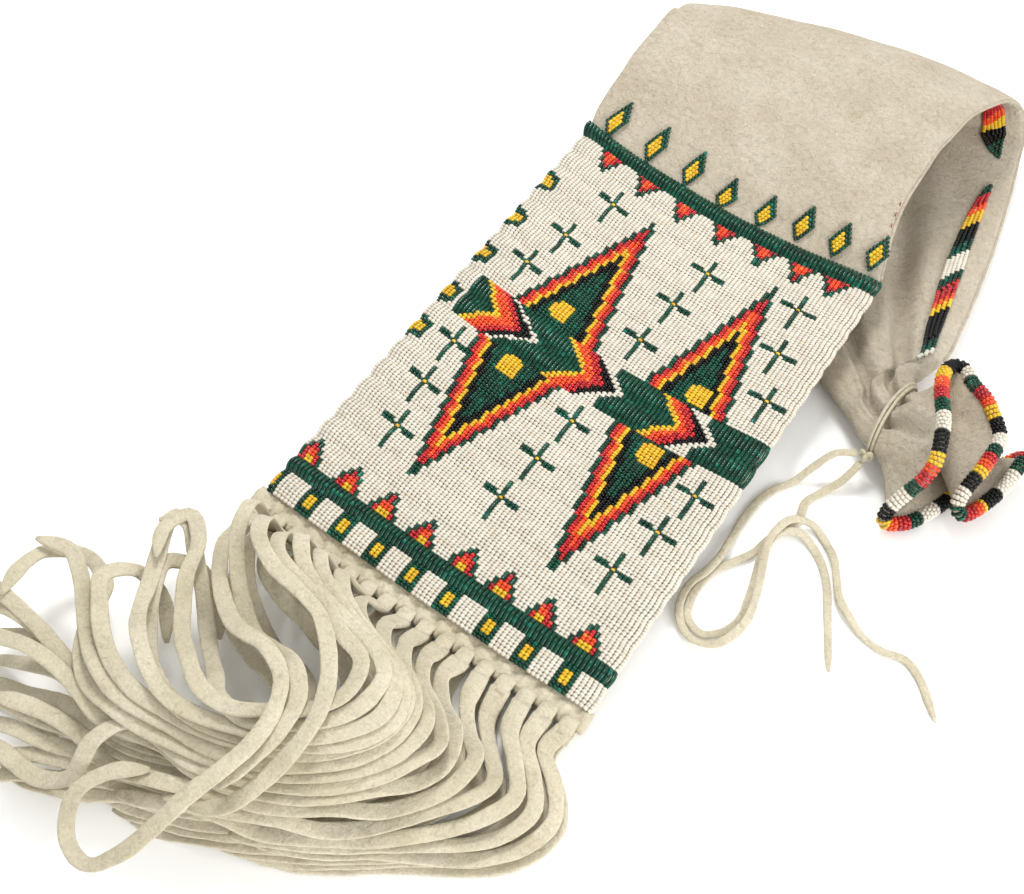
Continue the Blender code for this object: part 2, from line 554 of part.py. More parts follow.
def feather(tube, name, columns, finishes):
    """A feather across the two middle lanes: a notched quill block, then a pointed head."""
    start, edge, notch, tip = columns
    low, middle, high = LANES / 2 - 0.96, LANES / 2, LANES / 2 + 0.96
    slack = 0.4
    shoulder = notch + 1
    raised_field(tube, name + "_quill", [
        (start, low), (edge, low), (notch, middle), (edge, high), (start, high),
    ], finishes[0])
    raised_field(tube, name + "_head", [
        (edge + slack, low), (shoulder, low), (tip, middle), (shoulder, high), (edge + slack, high),
        (notch + slack, middle),
    ], finishes[1])


def bead_panel(tube, beads):
    half = PANEL_WIDTH / 2
    top = LANE_EDGES[-1]
    plain = [(-half, 0), (half, 0), (half, top), (-half, top)]
    bead_field(tube, "bead_ground", plain, beads["white"], lambda v: 0, ground_top)
    band = BAND / LANE
    teeth = (10.3, 21.5, 33, 44, 54.5, 64.5, 73.5)
    raised_field(tube, "top_band", band_outline(LANES + 0.02, LANES + band - 0.02, teeth, LANES - 1), beads["green"])
    teeth = (3, 13.5, 23.3, 33.4, 43.7, 53.3, 63.2, 73.2)
    blocks = (9.9, 19, 28, 37, 46.5, 56, 65.3, 74.5)
    outline = band_outline(0.02 - band, -0.02, teeth, 1, blocks, -band - 0.8)
    raised_field(tube, "bottom_band", outline, beads["green"])
    warm = (beads["red"], beads["green"], beads["yellow"])
    above, below = LANES / 2 + 1.08, LANES / 2 - 1.08
    tall_point(tube, "left_figure_upper", (15, 38, above), 30, 16.3, warm)
    tall_point(tube, "left_figure_lower", (13.3, 37, below), 22.8, 2, warm)
    tall_point(tube, "right_figure_upper", (50.8, 70.8, above), 62.4, 16.3, warm)
    tall_point(tube, "right_figure_lower", (50.6, 70.8, below), 58.9, 1.8, warm)
    tones = (beads["green"], beads["orange"])
    feather(tube, "feather_left", (4.8, 7, 13, 24.5), tones)
    feather(tube, "feather_middle", (25.2, 31, 38, 44.7), tones)
    feather(tube, "feather_right", (45.2, 55.5, 62, 67.8), tones)
    bar = [(68.2, below + 0.12), (COLUMNS - 0.3, below + 0.12), (COLUMNS - 0.3, above - 0.12),
           (68.2, above - 0.12)]
    raised_field(tube, "side_bar", bar, beads["green"])


def diamonds(tube, finish):
    """Small beaded diamonds on the bare hide above the panel."""
    for k in range(DIAMONDS):
        u = DIAMOND_START + k * DIAMOND_PITCH
        low = LANE_EDGES[-1] + 1.4 * MM
        middle, high = low + DIAMOND_LENGTH / 2, low + DIAMOND_LENGTH
        outline = [(u, low), (u + DIAMOND_WIDTH / 2, middle), (u, high), (u - DIAMOND_WIDTH / 2, middle)]
        bead_field(tube, f"diamond_{k + 1}", outline, finish, lambda v: 0, lambda v: FIELD_THICKNESS * 2)


def slot_centres():
    return [(k - (THONGS - 1) / 2) * THONG_PITCH for k in range(THONGS)]


def hem_shift(x):
    """How far the hem lies from y = 0 at x, along the bag's slightly skewed end."""
    left, middle, right = HEM_EDGE
    side = 2 * x / BAG_WIDTH
    return middle + side * (right - left) / 2 + side * side * ((left + right) / 2 - middle)


def fringe_hem(finish):
    """A strip of hide along the bag's end, with a slot for each thong."""
    half = HEM_WIDTH / 2
    outer = -GAP - HEM_LENGTH
    xs = [-half]
    for centre in slot_centres():
        xs += [centre - SLOT_LENGTH / 2, centre + SLOT_LENGTH / 2]
    xs.append(half)
    ys = [outer, outer + HEM_BAR, outer + HEM_BAR + SLOT_WIDTH, -GAP]
    bm = bmesh.new()
    bmesh.ops.create_grid(bm, x_segments=len(xs) - 1, y_segments=len(ys) - 1, size=1)
    for vert in bm.verts:
        i = round((vert.co.x + 1) / 2 * (len(xs) - 1))
        j = round((vert.co.y + 1) / 2 * (len(ys) - 1))
        vert.co = (xs[i], ys[j], HEM_HEIGHT - HEM_THICKNESS / 2)
    slots = []
    for face in bm.faces:
        place = face.calc_center_median()
        inside = any(abs(place.x - centre) < SLOT_LENGTH / 2 for centre in slot_centres())
        if inside and ys[1] < place.y < ys[2]:
            slots.append(face)
    bmesh.ops.delete(bm, geom=slots, context="FACES")
    raised = bmesh.ops.extrude_face_region(bm, geom=bm.faces, use_keep_orig=True)["geom"]
    lifted = [element for element in raised if isinstance(element, bmesh.types.BMVert)]
    bmesh.ops.translate(bm, verts=lifted, vec=(0, 0, HEM_THICKNESS))
    for vert in bm.verts:
        vert.co.y += hem_shift(vert.co.x)
    return mesh_from(bm, "fringe_hem", finish, smooth=False)


class Pile:
    """The height of what lies on the table already, on a grid, for strips that are laid over it."""

    def __init__(self, low, high):
        self.low = np.array(low)
        self.size = np.ceil((np.array(high) - self.low) / CELL).astype(int)
        self.height = np.zeros(self.size)

    def cells(self, x, y, reach):
        i, j = (int(v) for v in (np.array((x, y)) - self.low) / CELL)
        n = math.ceil(reach / CELL)
        a0, a1 = max(i - n, 0), min(i + n + 1, self.size[0])
        b0, b1 = max(j - n, 0), min(j + n + 1, self.size[1])
        grid = np.mgrid[a0:a1, b0:b1]
        gx = self.low[0] + (grid[0] + 0.5) * CELL - x
        gy = self.low[1] + (grid[1] + 0.5) * CELL - y
        return (slice(a0, a1), slice(b0, b1)), gx * gx + gy * gy <= reach * reach

    def stamp(self, start, end, reach):
        """The cells near a straight run, window by window, with how far along the run each lies."""
        steps = max(2, math.ceil(np.linalg.norm(end - start) / CELL) + 1)
        for f in np.linspace(0, 1, steps):
            yield (*self.cells(*(start + (end - start) * f), reach), f)

    def lay(self, route, first, width, thickness):
        """Heights for the points of a strip's route, clear of all that lies below, and adds the strip."""
        count = len(route)
        spans = np.linalg.norm(np.diff(route, axis=0), axis=1)
        behind = math.ceil(SELF_CLEARANCE / spans.mean())
        heights = np.zeros(count)
        for _ in range(3):
            earlier = self.height.copy()
            need = np.full(count, thickness / 2 + TABLE_CLEARANCE)
            for k in range(count - 1):
                if k >= behind:
                    j = k - behind
                    for window, inside, f in self.stamp(route[j], route[j + 1], width / 2 + 0.8 * MM):
                        top = heights[j] * (1 - f) + heights[j + 1] * f + thickness / 2
                        part = earlier[window]
                        part[inside] = np.maximum(part[inside], top)
                top = 0.0
                for window, inside, _ in self.stamp(route[k], route[k + 1], width / 2 + 1.3 * MM):
                    top = max(top, float((earlier[window] * inside).max()))
                need[k : k + 2] = np.maximum(need[k : k + 2], top + GAP + thickness / 2)
            need[0] = first
            for k in range(1, count):
                need[k] = max(need[k], need[k - 1] - STEEPEST * spans[k - 1])
            for k in range(count - 2, 0, -1):
                need[k] = max(need[k], need[k + 1] - STEEPEST * spans[k])
            heights = need
        for k in range(count - 1):
            for window, inside, f in self.stamp(route[k], route[k + 1], width / 2 + 0.8 * MM):
                top = heights[k] * (1 - f) + heights[k + 1] * f + thickness / 2
                part = self.height[window]
                part[inside] = np.maximum(part[inside], top)
        return heights


def strip_rings(path, width, thickness, side, taper_start=False):
    """Flat sections square to a path, their sides kept level, narrowed to points at the strip's ends."""
    path = np.asarray(path)
    rings = []
    for k, here in enumerate(path):
        along = unit(path[min(k + 1, len(path) - 1)] - path[max(k - 1, 0)])
        flat = np.array([along[0], along[1]])
        if np.linalg.norm(flat) > 0.3:
            level = np.array([-flat[1], flat[0], 0]) / np.linalg.norm(flat)
            side = level if level @ side > 0 else -level
        up = unit(np.cross(along, side))
        end = k == len(path) - 1 or (taper_start and k == 0)
        half = width / 2 * (0.35 if end else 1)
        rise = thickness / 2
        rings.append([here + side * half + up * rise, here - side * half + up * rise,
                      here - side * half - up * rise, here + side * half - up * rise])
    return rings


def fringe_thongs(finish):
    """Each thong is one strip, doubled round the hem's outer bar: an under tail and an over tail."""
    pile = Pile((-0.17, -0.2), (0.13, 0.0))
    radius = HEM_THICKNESS / 2 + LOOP_CLEARANCE + THONG_THICKNESS / 2
    centre_y = -GAP - HEM_LENGTH + HEM_BAR / 2 + 0.1 * MM
    low, high = HEM_HEIGHT - radius, HEM_HEIGHT + radius
    leave = -GAP - HEM_LENGTH - 2.5 * MM
    tails = {}
    for layer, height in ((0, low), (1, high)):
        for k in reversed(range(THONGS)):
            x = slot_centres()[k]
            hand = [np.array(p) * MM for p in THONG_ROUTES[k][layer]]
            head = [np.array((x, leave + hem_shift(x))), np.array((x, leave + hem_shift(x) - 4 * MM))]
            route = evenly_along([*head, *hand], THONG_SPACING)
            z = pile.lay(route, height, THONG_WIDTH, THONG_THICKNESS)
            tails[k, layer] = np.column_stack([route, z])
    for k, x in enumerate(slot_centres()):
        loop = []
        for step in range(5):
            angle = math.pi * (step / 4 - 0.5)
            y = centre_y + hem_shift(x) + radius * math.cos(angle)
            loop.append((x, y, HEM_HEIGHT + radius * math.sin(angle)))
        path = np.vstack([tails[k, 0][::-1], loop, tails[k, 1]])
        rings = strip_rings(path, THONG_WIDTH, THONG_THICKNESS, np.array((1.0, 0, 0)), taper_start=True)
        lofted(f"thong_{k + 1:02d}", rings, finish, smooth=False)


def neck_tie(tube, finish):
    """The thong's turn round the gathered neck, joined to its knot on the near side."""
    middle = tube.length - TIE_WIDTH
    rings = []
    for along, grow in ((-1, 0), (-1, 1), (1, 1), (1, 0)):
        v = middle + along * TIE_WIDTH / 2
        rings.append(tube.ring(v, 2 * GAP + grow * TIE_THICKNESS, False))
    band = looped("neck_tie", np.transpose(rings, (1, 0, 2)), finish)
    outward = unit(rings[1][RING_POINTS // 2] - rings[1][0])
    face = np.mean([ring[RING_POINTS // 2] for ring in rings[1:3]], axis=0)
    place = face + outward * (KNOT_RADIUS - TIE_THICKNESS * 0.6)
    bm = bmesh.new()
    bmesh.ops.create_icosphere(bm, subdivisions=2, radius=KNOT_RADIUS)
    bmesh.ops.translate(bm, verts=bm.verts, vec=place)
    knot = mesh_from(bm, "tie_knot_to_join", finish)
    knot.hide_render = True
    knot.display_type = "WIRE"
    join = band.modifiers.new("knot", "BOOLEAN")
    join.operation = "UNION"
    join.solver = "EXACT"
    join.object = knot
    return place


def tie_ends(knot, finish):
    """The tie's two long ends, the second laid under the first where they leave the knot."""
    pile = Pile((0.06, 0.02), (0.23, 0.2))
    for k in (1, 0):
        hand = [np.array(p) * MM for p in TIE_ROUTES[k]]
        start = knot[:2] + unit(hand[0] - knot[:2]) * (KNOT_RADIUS + 2 * GAP)
        route = evenly_along([start, *hand], THONG_SPACING * 0.7)
        first = knot[2] + (1 - 2 * k) * (TIE_THICKNESS / 2 + GAP)
        z = pile.lay(route, first, TIE_WIDTH, TIE_THICKNESS)
        path = np.column_stack([route, z])
        side = np.array((-1.0, 1.0, 0)) / math.sqrt(2)
        lofted(f"tie_end_{k + 1}", strip_rings(path, TIE_WIDTH, TIE_THICKNESS, side), finish, smooth=False)


def mouth_rim(name, radius, finish):
    """The beaded roll round the mouth, with sections that don't turn about its middle line."""
    places = mouth_curve(72)
    rings = []
    side = np.array((0.0, 0.0, 1.0))
    for k, place in enumerate(places):
        along = unit(places[(k + 1) % len(places)] - places[k - 1])
        side = unit(side - along * (side @ along))
        up = np.cross(along, side)
        rings.append([place + radius * (side * math.cos(a) + up * math.sin(a))
                      for a in np.linspace(0, 2 * math.pi, 9)[:-1]])
    last, first = rings[-1], rings[0]
    turn = min(range(8), key=lambda n: np.linalg.norm(np.roll(last, n, axis=0) - first))
    for k in range(len(rings)):
        ease = k / len(rings) * 2 * math.pi * (turn if turn <= 4 else turn - 8) / 8
        place = places[k]
        along = unit(places[(k + 1) % len(places)] - places[k - 1])
        arms = np.array(rings[k]) - place
        rings[k] = place + arms * math.cos(ease) - np.cross(along, arms) * math.sin(ease)
    return looped(name, rings, finish, smooth=True)


def stand_on_origin(free_ends):
    """Moves all by one shared empty, so that the origin is under the middle of the bag."""
    bpy.context.view_layer.update()
    evaluated = bpy.context.evaluated_depsgraph_get()
    points = []
    for piece in bpy.context.scene.objects:
        if not piece.hide_render and not piece.name.startswith(free_ends):
            points += [vert.co.copy() for vert in piece.evaluated_get(evaluated).to_mesh().vertices]
    low, high = np.min(points, axis=0), np.max(points, axis=0)
    origin = bpy.data.objects.new("bag_origin", None)
    bpy.context.scene.collection.objects.link(origin)
    for piece in bpy.context.scene.objects:
        if piece is not origin:
            piece.parent = origin
    origin.location = (-(low[0] + high[0]) / 2, -(low[1] + high[1]) / 2, -low[2])
    bpy.context.view_layer.update()


def main():
    clear_scene()
    hide = material("white_hide", (0.72, 0.66, 0.54), 0.95)
    beads = {
        "white": material("white_beads", (0.82, 0.80, 0.76), 0.3),
        "green": material("green_beads", (0.006, 0.11, 0.055), 0.25),
        "red": material("red_beads", (0.58, 0.02, 0.02), 0.25),
        "orange": material("orange_beads", (0.85, 0.12, 0.02), 0.25),
        "yellow": material("yellow_beads", (0.8, 0.55, 0.02), 0.25),
        "black": material("black_beads", (0.01, 0.01, 0.012), 0.2),
    }
    tube = HideTube()
    bag_body(tube, hide)
    bead_panel(tube, beads)
    diamonds(tube, beads["green"])
    side_edging(tube, beads["black"])
    mouth_rim("mouth_rim", RIM_RADIUS, beads["white"])
    fringe_hem(hide)
    fringe_thongs(hide)
    knot = neck_tie(tube, hide)
    tie_ends(knot, hide)
    stand_on_origin(("thong_", "tie_end_"))


main()
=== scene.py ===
"""The looks of a beaded pipe bag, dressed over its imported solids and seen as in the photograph.

The bag is soft white hide, folded over on a table. It has lane-stitched glass seed beads on its panel, a
doubled thong fringe, a tied neck and a beaded mouth. Its routes and stations follow the part's own source.
"""

import json
import math

import bmesh
import bpy
import numpy as np
from mathutils import Matrix, Vector, noise
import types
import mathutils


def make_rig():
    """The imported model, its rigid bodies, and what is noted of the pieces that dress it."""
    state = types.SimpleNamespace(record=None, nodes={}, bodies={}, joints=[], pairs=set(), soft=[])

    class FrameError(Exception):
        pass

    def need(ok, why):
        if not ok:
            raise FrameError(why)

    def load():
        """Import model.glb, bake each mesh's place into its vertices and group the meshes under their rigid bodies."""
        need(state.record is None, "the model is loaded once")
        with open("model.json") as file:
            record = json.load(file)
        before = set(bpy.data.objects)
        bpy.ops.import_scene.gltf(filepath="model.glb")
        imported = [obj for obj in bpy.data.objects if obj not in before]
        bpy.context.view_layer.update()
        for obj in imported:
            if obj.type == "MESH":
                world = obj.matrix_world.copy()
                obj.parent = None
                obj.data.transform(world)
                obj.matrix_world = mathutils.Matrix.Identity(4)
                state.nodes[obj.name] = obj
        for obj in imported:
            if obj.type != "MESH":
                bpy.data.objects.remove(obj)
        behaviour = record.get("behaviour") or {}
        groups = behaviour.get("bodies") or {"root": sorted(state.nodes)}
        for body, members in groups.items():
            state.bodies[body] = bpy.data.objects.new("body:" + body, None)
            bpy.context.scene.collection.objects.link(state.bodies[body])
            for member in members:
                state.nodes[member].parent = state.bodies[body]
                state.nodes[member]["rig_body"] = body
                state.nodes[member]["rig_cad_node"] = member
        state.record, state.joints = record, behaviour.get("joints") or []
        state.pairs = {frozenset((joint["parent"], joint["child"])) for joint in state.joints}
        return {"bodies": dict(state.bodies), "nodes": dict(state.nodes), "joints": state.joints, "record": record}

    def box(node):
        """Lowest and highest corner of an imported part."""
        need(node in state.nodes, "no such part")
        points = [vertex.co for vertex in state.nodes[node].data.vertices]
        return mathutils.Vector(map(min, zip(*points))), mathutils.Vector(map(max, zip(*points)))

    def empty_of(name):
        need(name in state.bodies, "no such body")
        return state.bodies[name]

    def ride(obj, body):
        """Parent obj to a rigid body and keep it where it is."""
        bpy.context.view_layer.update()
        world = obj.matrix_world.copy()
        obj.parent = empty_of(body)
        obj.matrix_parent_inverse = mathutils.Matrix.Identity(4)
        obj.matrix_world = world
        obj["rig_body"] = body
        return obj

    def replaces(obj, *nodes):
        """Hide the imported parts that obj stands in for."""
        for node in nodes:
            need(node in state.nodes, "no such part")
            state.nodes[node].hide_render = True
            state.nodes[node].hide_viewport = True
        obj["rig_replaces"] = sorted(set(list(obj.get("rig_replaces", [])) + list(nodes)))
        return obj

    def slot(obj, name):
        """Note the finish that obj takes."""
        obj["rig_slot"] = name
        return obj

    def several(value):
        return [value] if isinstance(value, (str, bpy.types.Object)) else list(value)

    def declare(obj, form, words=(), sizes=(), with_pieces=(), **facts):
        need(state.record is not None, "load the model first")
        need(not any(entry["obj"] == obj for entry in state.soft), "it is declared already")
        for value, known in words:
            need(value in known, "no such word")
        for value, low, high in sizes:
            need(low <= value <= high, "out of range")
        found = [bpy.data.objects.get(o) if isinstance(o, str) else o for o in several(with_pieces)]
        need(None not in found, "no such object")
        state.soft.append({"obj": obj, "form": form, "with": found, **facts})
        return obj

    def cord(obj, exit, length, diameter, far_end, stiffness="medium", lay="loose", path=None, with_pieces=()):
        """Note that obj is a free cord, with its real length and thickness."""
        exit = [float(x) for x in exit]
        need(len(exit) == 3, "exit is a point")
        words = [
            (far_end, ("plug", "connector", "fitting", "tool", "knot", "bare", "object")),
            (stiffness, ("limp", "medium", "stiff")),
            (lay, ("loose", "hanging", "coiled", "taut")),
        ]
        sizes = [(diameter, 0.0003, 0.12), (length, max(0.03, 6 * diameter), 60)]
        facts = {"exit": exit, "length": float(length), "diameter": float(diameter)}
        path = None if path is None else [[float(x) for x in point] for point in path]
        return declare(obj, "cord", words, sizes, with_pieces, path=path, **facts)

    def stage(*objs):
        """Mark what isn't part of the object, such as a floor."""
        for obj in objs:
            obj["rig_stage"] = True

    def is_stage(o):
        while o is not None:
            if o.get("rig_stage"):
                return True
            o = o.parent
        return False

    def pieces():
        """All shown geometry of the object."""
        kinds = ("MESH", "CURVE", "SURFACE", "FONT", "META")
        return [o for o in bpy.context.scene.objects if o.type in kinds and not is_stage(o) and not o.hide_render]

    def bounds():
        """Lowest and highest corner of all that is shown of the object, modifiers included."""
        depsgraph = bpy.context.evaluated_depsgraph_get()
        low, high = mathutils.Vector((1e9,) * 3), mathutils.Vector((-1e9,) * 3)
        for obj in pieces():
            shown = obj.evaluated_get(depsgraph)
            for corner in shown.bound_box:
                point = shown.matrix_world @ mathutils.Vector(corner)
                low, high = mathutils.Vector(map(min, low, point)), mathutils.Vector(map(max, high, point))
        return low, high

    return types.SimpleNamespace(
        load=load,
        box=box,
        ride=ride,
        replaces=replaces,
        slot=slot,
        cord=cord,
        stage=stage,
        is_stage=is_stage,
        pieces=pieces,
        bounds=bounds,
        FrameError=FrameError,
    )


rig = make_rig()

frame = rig.load()
solid_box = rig.bounds()

MM = 0.001
GAP = 0.3 * MM

# Hide tube
BAG_WIDTH = 166 * MM
BAG_HALF_THICKNESS = 3.5 * MM
HIDE = 1.2 * MM
ROLLS = 3  # long folds that run down each face to the tie
ROLL_DEPTH = 2.6  # how deep they are drawn, times the depth that the stations give
DEEPEST = 3.2 * MM  # the depth that the stations give at the tie
CREASES = 9.2  # finer creases among the folds
SECTION_POINTS = 144
SECTION_SPACING = 3 * MM

# Bead panel
PANEL_WIDTH = 170 * MM
PANEL_LENGTH = 257 * MM
PANEL_SLOPE = math.radians(5)
COLUMNS = 82
LANES = 18
LANE = 12.9 * MM
BAND = 7.8 * MM
TOP_EDGE = (251 * MM, -5 * MM, 10 * MM)
LANE_RISE = 1.5 * MM
TOP_BAND_OVER = 2.2 * MM  # how far the top band's beads roll over on to the bare hide
EDGE_DROOP = 0.35
BEADS_PER_LANE = 8
BEADS_PER_BAND = 5
BEAD_HEIGHT = 0.88  # share of a bead's width that it stands high
BEAD_FILL = {"round": (1.1, 1.0), "rib": (1.02, 1.05)}  # its width and length, as shares of its place
BEAD_STAND = 0.3 * MM
COLUMN_DRIFT = 0.1 * MM
EDGE_ROLL = 1.5 * MM  # how far the panel's outermost beads roll down over its sides
MOST_BEADS = 4200  # the most beads that one piece holds; a piece of beads stays small enough to export whole

# Hem and thongs
HEM_WIDTH = 172 * MM
HEM_EDGE = (0.8 * MM, -5 * MM, -7.2 * MM)
HEM_LENGTH = 9.7 * MM
HEM_THICKNESS = 2.6 * MM
HEM_BAR = 2.2 * MM
THONGS = 17
THONG_PITCH = 10 * MM
THONG_WIDTH = 5.5 * MM
THONG_THICKNESS = 1.6 * MM
LOOP_CLEARANCE = 0.5 * MM
THONG_SPACING = 14 * MM
TAIL_WIDTH = 6.5 * MM  # a tail lies flatter and wider than its cut width once it is past the hem
TAIL_LEAVES = 2.5 * MM  # how far past the hem a tail starts
TAIL_POINTS = 2.5 * MM  # spacing of its sections
STRAIGHT_POINTS = 11
STRAIGHTENED = 0.8  # share of an upper tail's rise that is taken evenly over its first points
HEAD_LENGTH = 14 * MM  # an upper tail starts fuller, over about this length
HEAD_WIDTH = 8.3 * MM
HEAD_FADE = 1.6 * MM
HEAD_RISE = 0.85  # how much thicker it is there

# Cut strips
STRIP_LEAN = math.radians(17)  # the most that a strip rolls to one side
LEAN_STARTS = 20 * MM
TIP_LENGTH = 9 * MM  # a cut end narrows over this length
STRIP_CUP = 0.35 * MM
GROOVE_WIDTH = 0.45 * MM
SLOPE_SEEN = 0.3  # a strip steeper than this keeps the side that it had

# Mouth, edging and tie
RIM_RADIUS = 3.6 * MM
RIM_BEAD = (2.2 * MM, 1.9 * MM)  # width and length
RIM_STRINGS = 9
EDGING_MARGIN = 9 * MM
EDGING_WIDTH = 10 * MM
EDGING_PITCH = 2.1 * MM
EDGING_BEAD = 2 * MM
EDGING_STARTS = 14 * MM  # past the panel's top
EDGING_STOPS = 29 * MM  # short of the tube's end
TIE_WIDTH = 3.6 * MM
TIE_THICKNESS = 1.5 * MM
KNOT_RADIUS = 3.6 * MM

# Laying the thongs on each other
TABLE_CLEARANCE = 0.25 * MM
CELL = 1 * MM
STEEPEST = 0.6
SELF_CLEARANCE = 22 * MM
COVERS = 0.8 * MM  # how far past its edge a strip raises what is laid later
FEELS = 1.3 * MM  # how far past its edge a strip looks for what lies below

# Table and light: each lamp's name, place and size in metres, and its power in watts
TABLE_SIZE = 3
TABLE_DROP = 0.2 * MM
LAMPS = (("soft_key", (-0.55, 0.55, 1.1), 0.45, 13), ("soft_fill", (1.1, -0.55, 0.5), 1.0, 15))
SURROUND = 0.88

HEM_HEIGHT = BAG_HALF_THICKNESS + 0.9 * MM
COLUMN_WIDTH = PANEL_WIDTH / COLUMNS
FIRST_LANE = LANE + BAND
LANE_EDGES = [0, LANE, *(FIRST_LANE + k * LANE for k in range(LANES + 1)), FIRST_LANE + LANES * LANE + BAND]
PANEL_RISE = PANEL_LENGTH * math.sin(PANEL_SLOPE)
PANEL_REACH = PANEL_LENGTH * math.cos(PANEL_SLOPE)

# Left edge, middle and right edge of the flat tube, then its half thickness, its squareness and the depth
# of its pleats, in millimetres beyond the top of the panel. Each row is one station along the bag.
BEYOND_PANEL = (
    ((-86, 14, 9), (-4, 15, 9), (79, 11, 10), 3.5, 4, 0),
    ((-87, 43, 21), (-6, 39, 20), (74, 33, 20), 3.6, 4, 0),
    ((-87, 71, 27), (-7, 67, 26), (73, 58, 25), 3.8, 4, 0),
    ((-87, 93, 25), (-6, 97, 28), (74, 88, 28), 4, 3.6, 0),
    ((-86, 111, 16), (-3, 129, 24), (79, 121, 27), 4, 3.4, 0),
    ((-84, 120, 3), (1, 145, 14), (86, 144, 21), 4, 3.4, 0),
    ((-79, 120, -10), (5, 149, 2), (92, 158, 10), 4, 3.4, 0),
    ((-66, 106, -17), (11, 142, -10), (97, 162, -3), 4.4, 3.4, 0),
    ((-46, 81, -20.5), (22, 121, -17.5), (103, 150, -14), 5.5, 3.2, 0.3),
    ((-16, 43, -21), (40, 83, -20.6), (110, 121, -19), 6.5, 3, 0.8),
    ((17, 5, -20.6), (57, 48, -20.5), (117, 83, -19), 7, 2.8, 1.4),
    ((50, -26, -20), (76, 14, -20), (122, 48, -18.5), 7.2, 2.6, 2.2),
    ((79, -49, -19), (93, -15, -19), (125.5, 15, -17.2), 7.5, 2.4, 2.8),
    ((103, -67, -16.5), (108, -38, -16), (127, -10, -14.5), 8, 2.2, 3.2),
    ((115.5, -78, -14.5), (115, -56, -12.5), (120.5, -33, -11), 8.3, 2, 3.2),
    ((123, -82, -13.5), (123, -62, -11.5), (125, -42, -9.5), 8.3, 2, 3.2),
)

# Middle line of the beaded roll round the mouth, once round from the top corner of the neck.
MOUTH_LINE = (
    (134.3, 229.8, 29), (131.6, 222, 31), (133.2, 211.5, 33.3), (137.5, 199, 36.5), (142.5, 188, 37.5),
    (146, 178, 36), (148.5, 169.5, 31), (147.5, 163, 25), (144, 157, 18), (141, 150.5, 11), (142, 148, 5.5),
    (149, 153, 4.5), (154.5, 161.5, 4.5), (158.5, 171.5, 4.5), (162, 182, 4.5), (165.5, 193, 4.5),
    (169.5, 203, 4.5), (173.5, 210, 5.5), (177.5, 213.5, 9.5), (180, 211, 14.5), (180, 204, 15),
    (179, 195, 12), (176.4, 183.8, 11.5), (172.4, 172.9, 11), (169.2, 167.8, 11.5), (165.9, 167.5, 14),
    (164.7, 170.9, 17.5), (165.4, 177.2, 21), (166.8, 185, 24), (167.3, 193, 25.5), (167.5, 200, 25),
    (166.8, 206, 25), (163.5, 210.5, 26.3), (158.5, 214.5, 28.5), (153.5, 218.5, 30), (149, 220.5, 30.7),
    (144.2, 222.7, 31), (139.6, 228.4, 30.2),
)
MOUTH_SPLIT = 0.25  # share of the mouth that opens from the upper face of the neck
NECK_AXIS = (0.97, -0.15, 0.2)
NECK_REACH = 4 * MM  # how far the gathers run on before the mouth opens
FLARE = (0.3, 0.15, 0.3)  # how early the mouth opens, along each axis
# Shares of the mouth between which a fold leans in over the lower side, and how its sides stand apart there
FOLD = (0.5, 0.615, 0.645, 0.675, 0.85)
FOLD_RISE = (0, -5.5 * MM, 0, 6.5 * MM, 0)
# Shares of the mouth at which its upper crease starts, at the tie, and ends, at the rim; then its depth
MOUTH_CREASE = (0.1415, 0.1725)
CREASE_DEPTH = 5 * MM

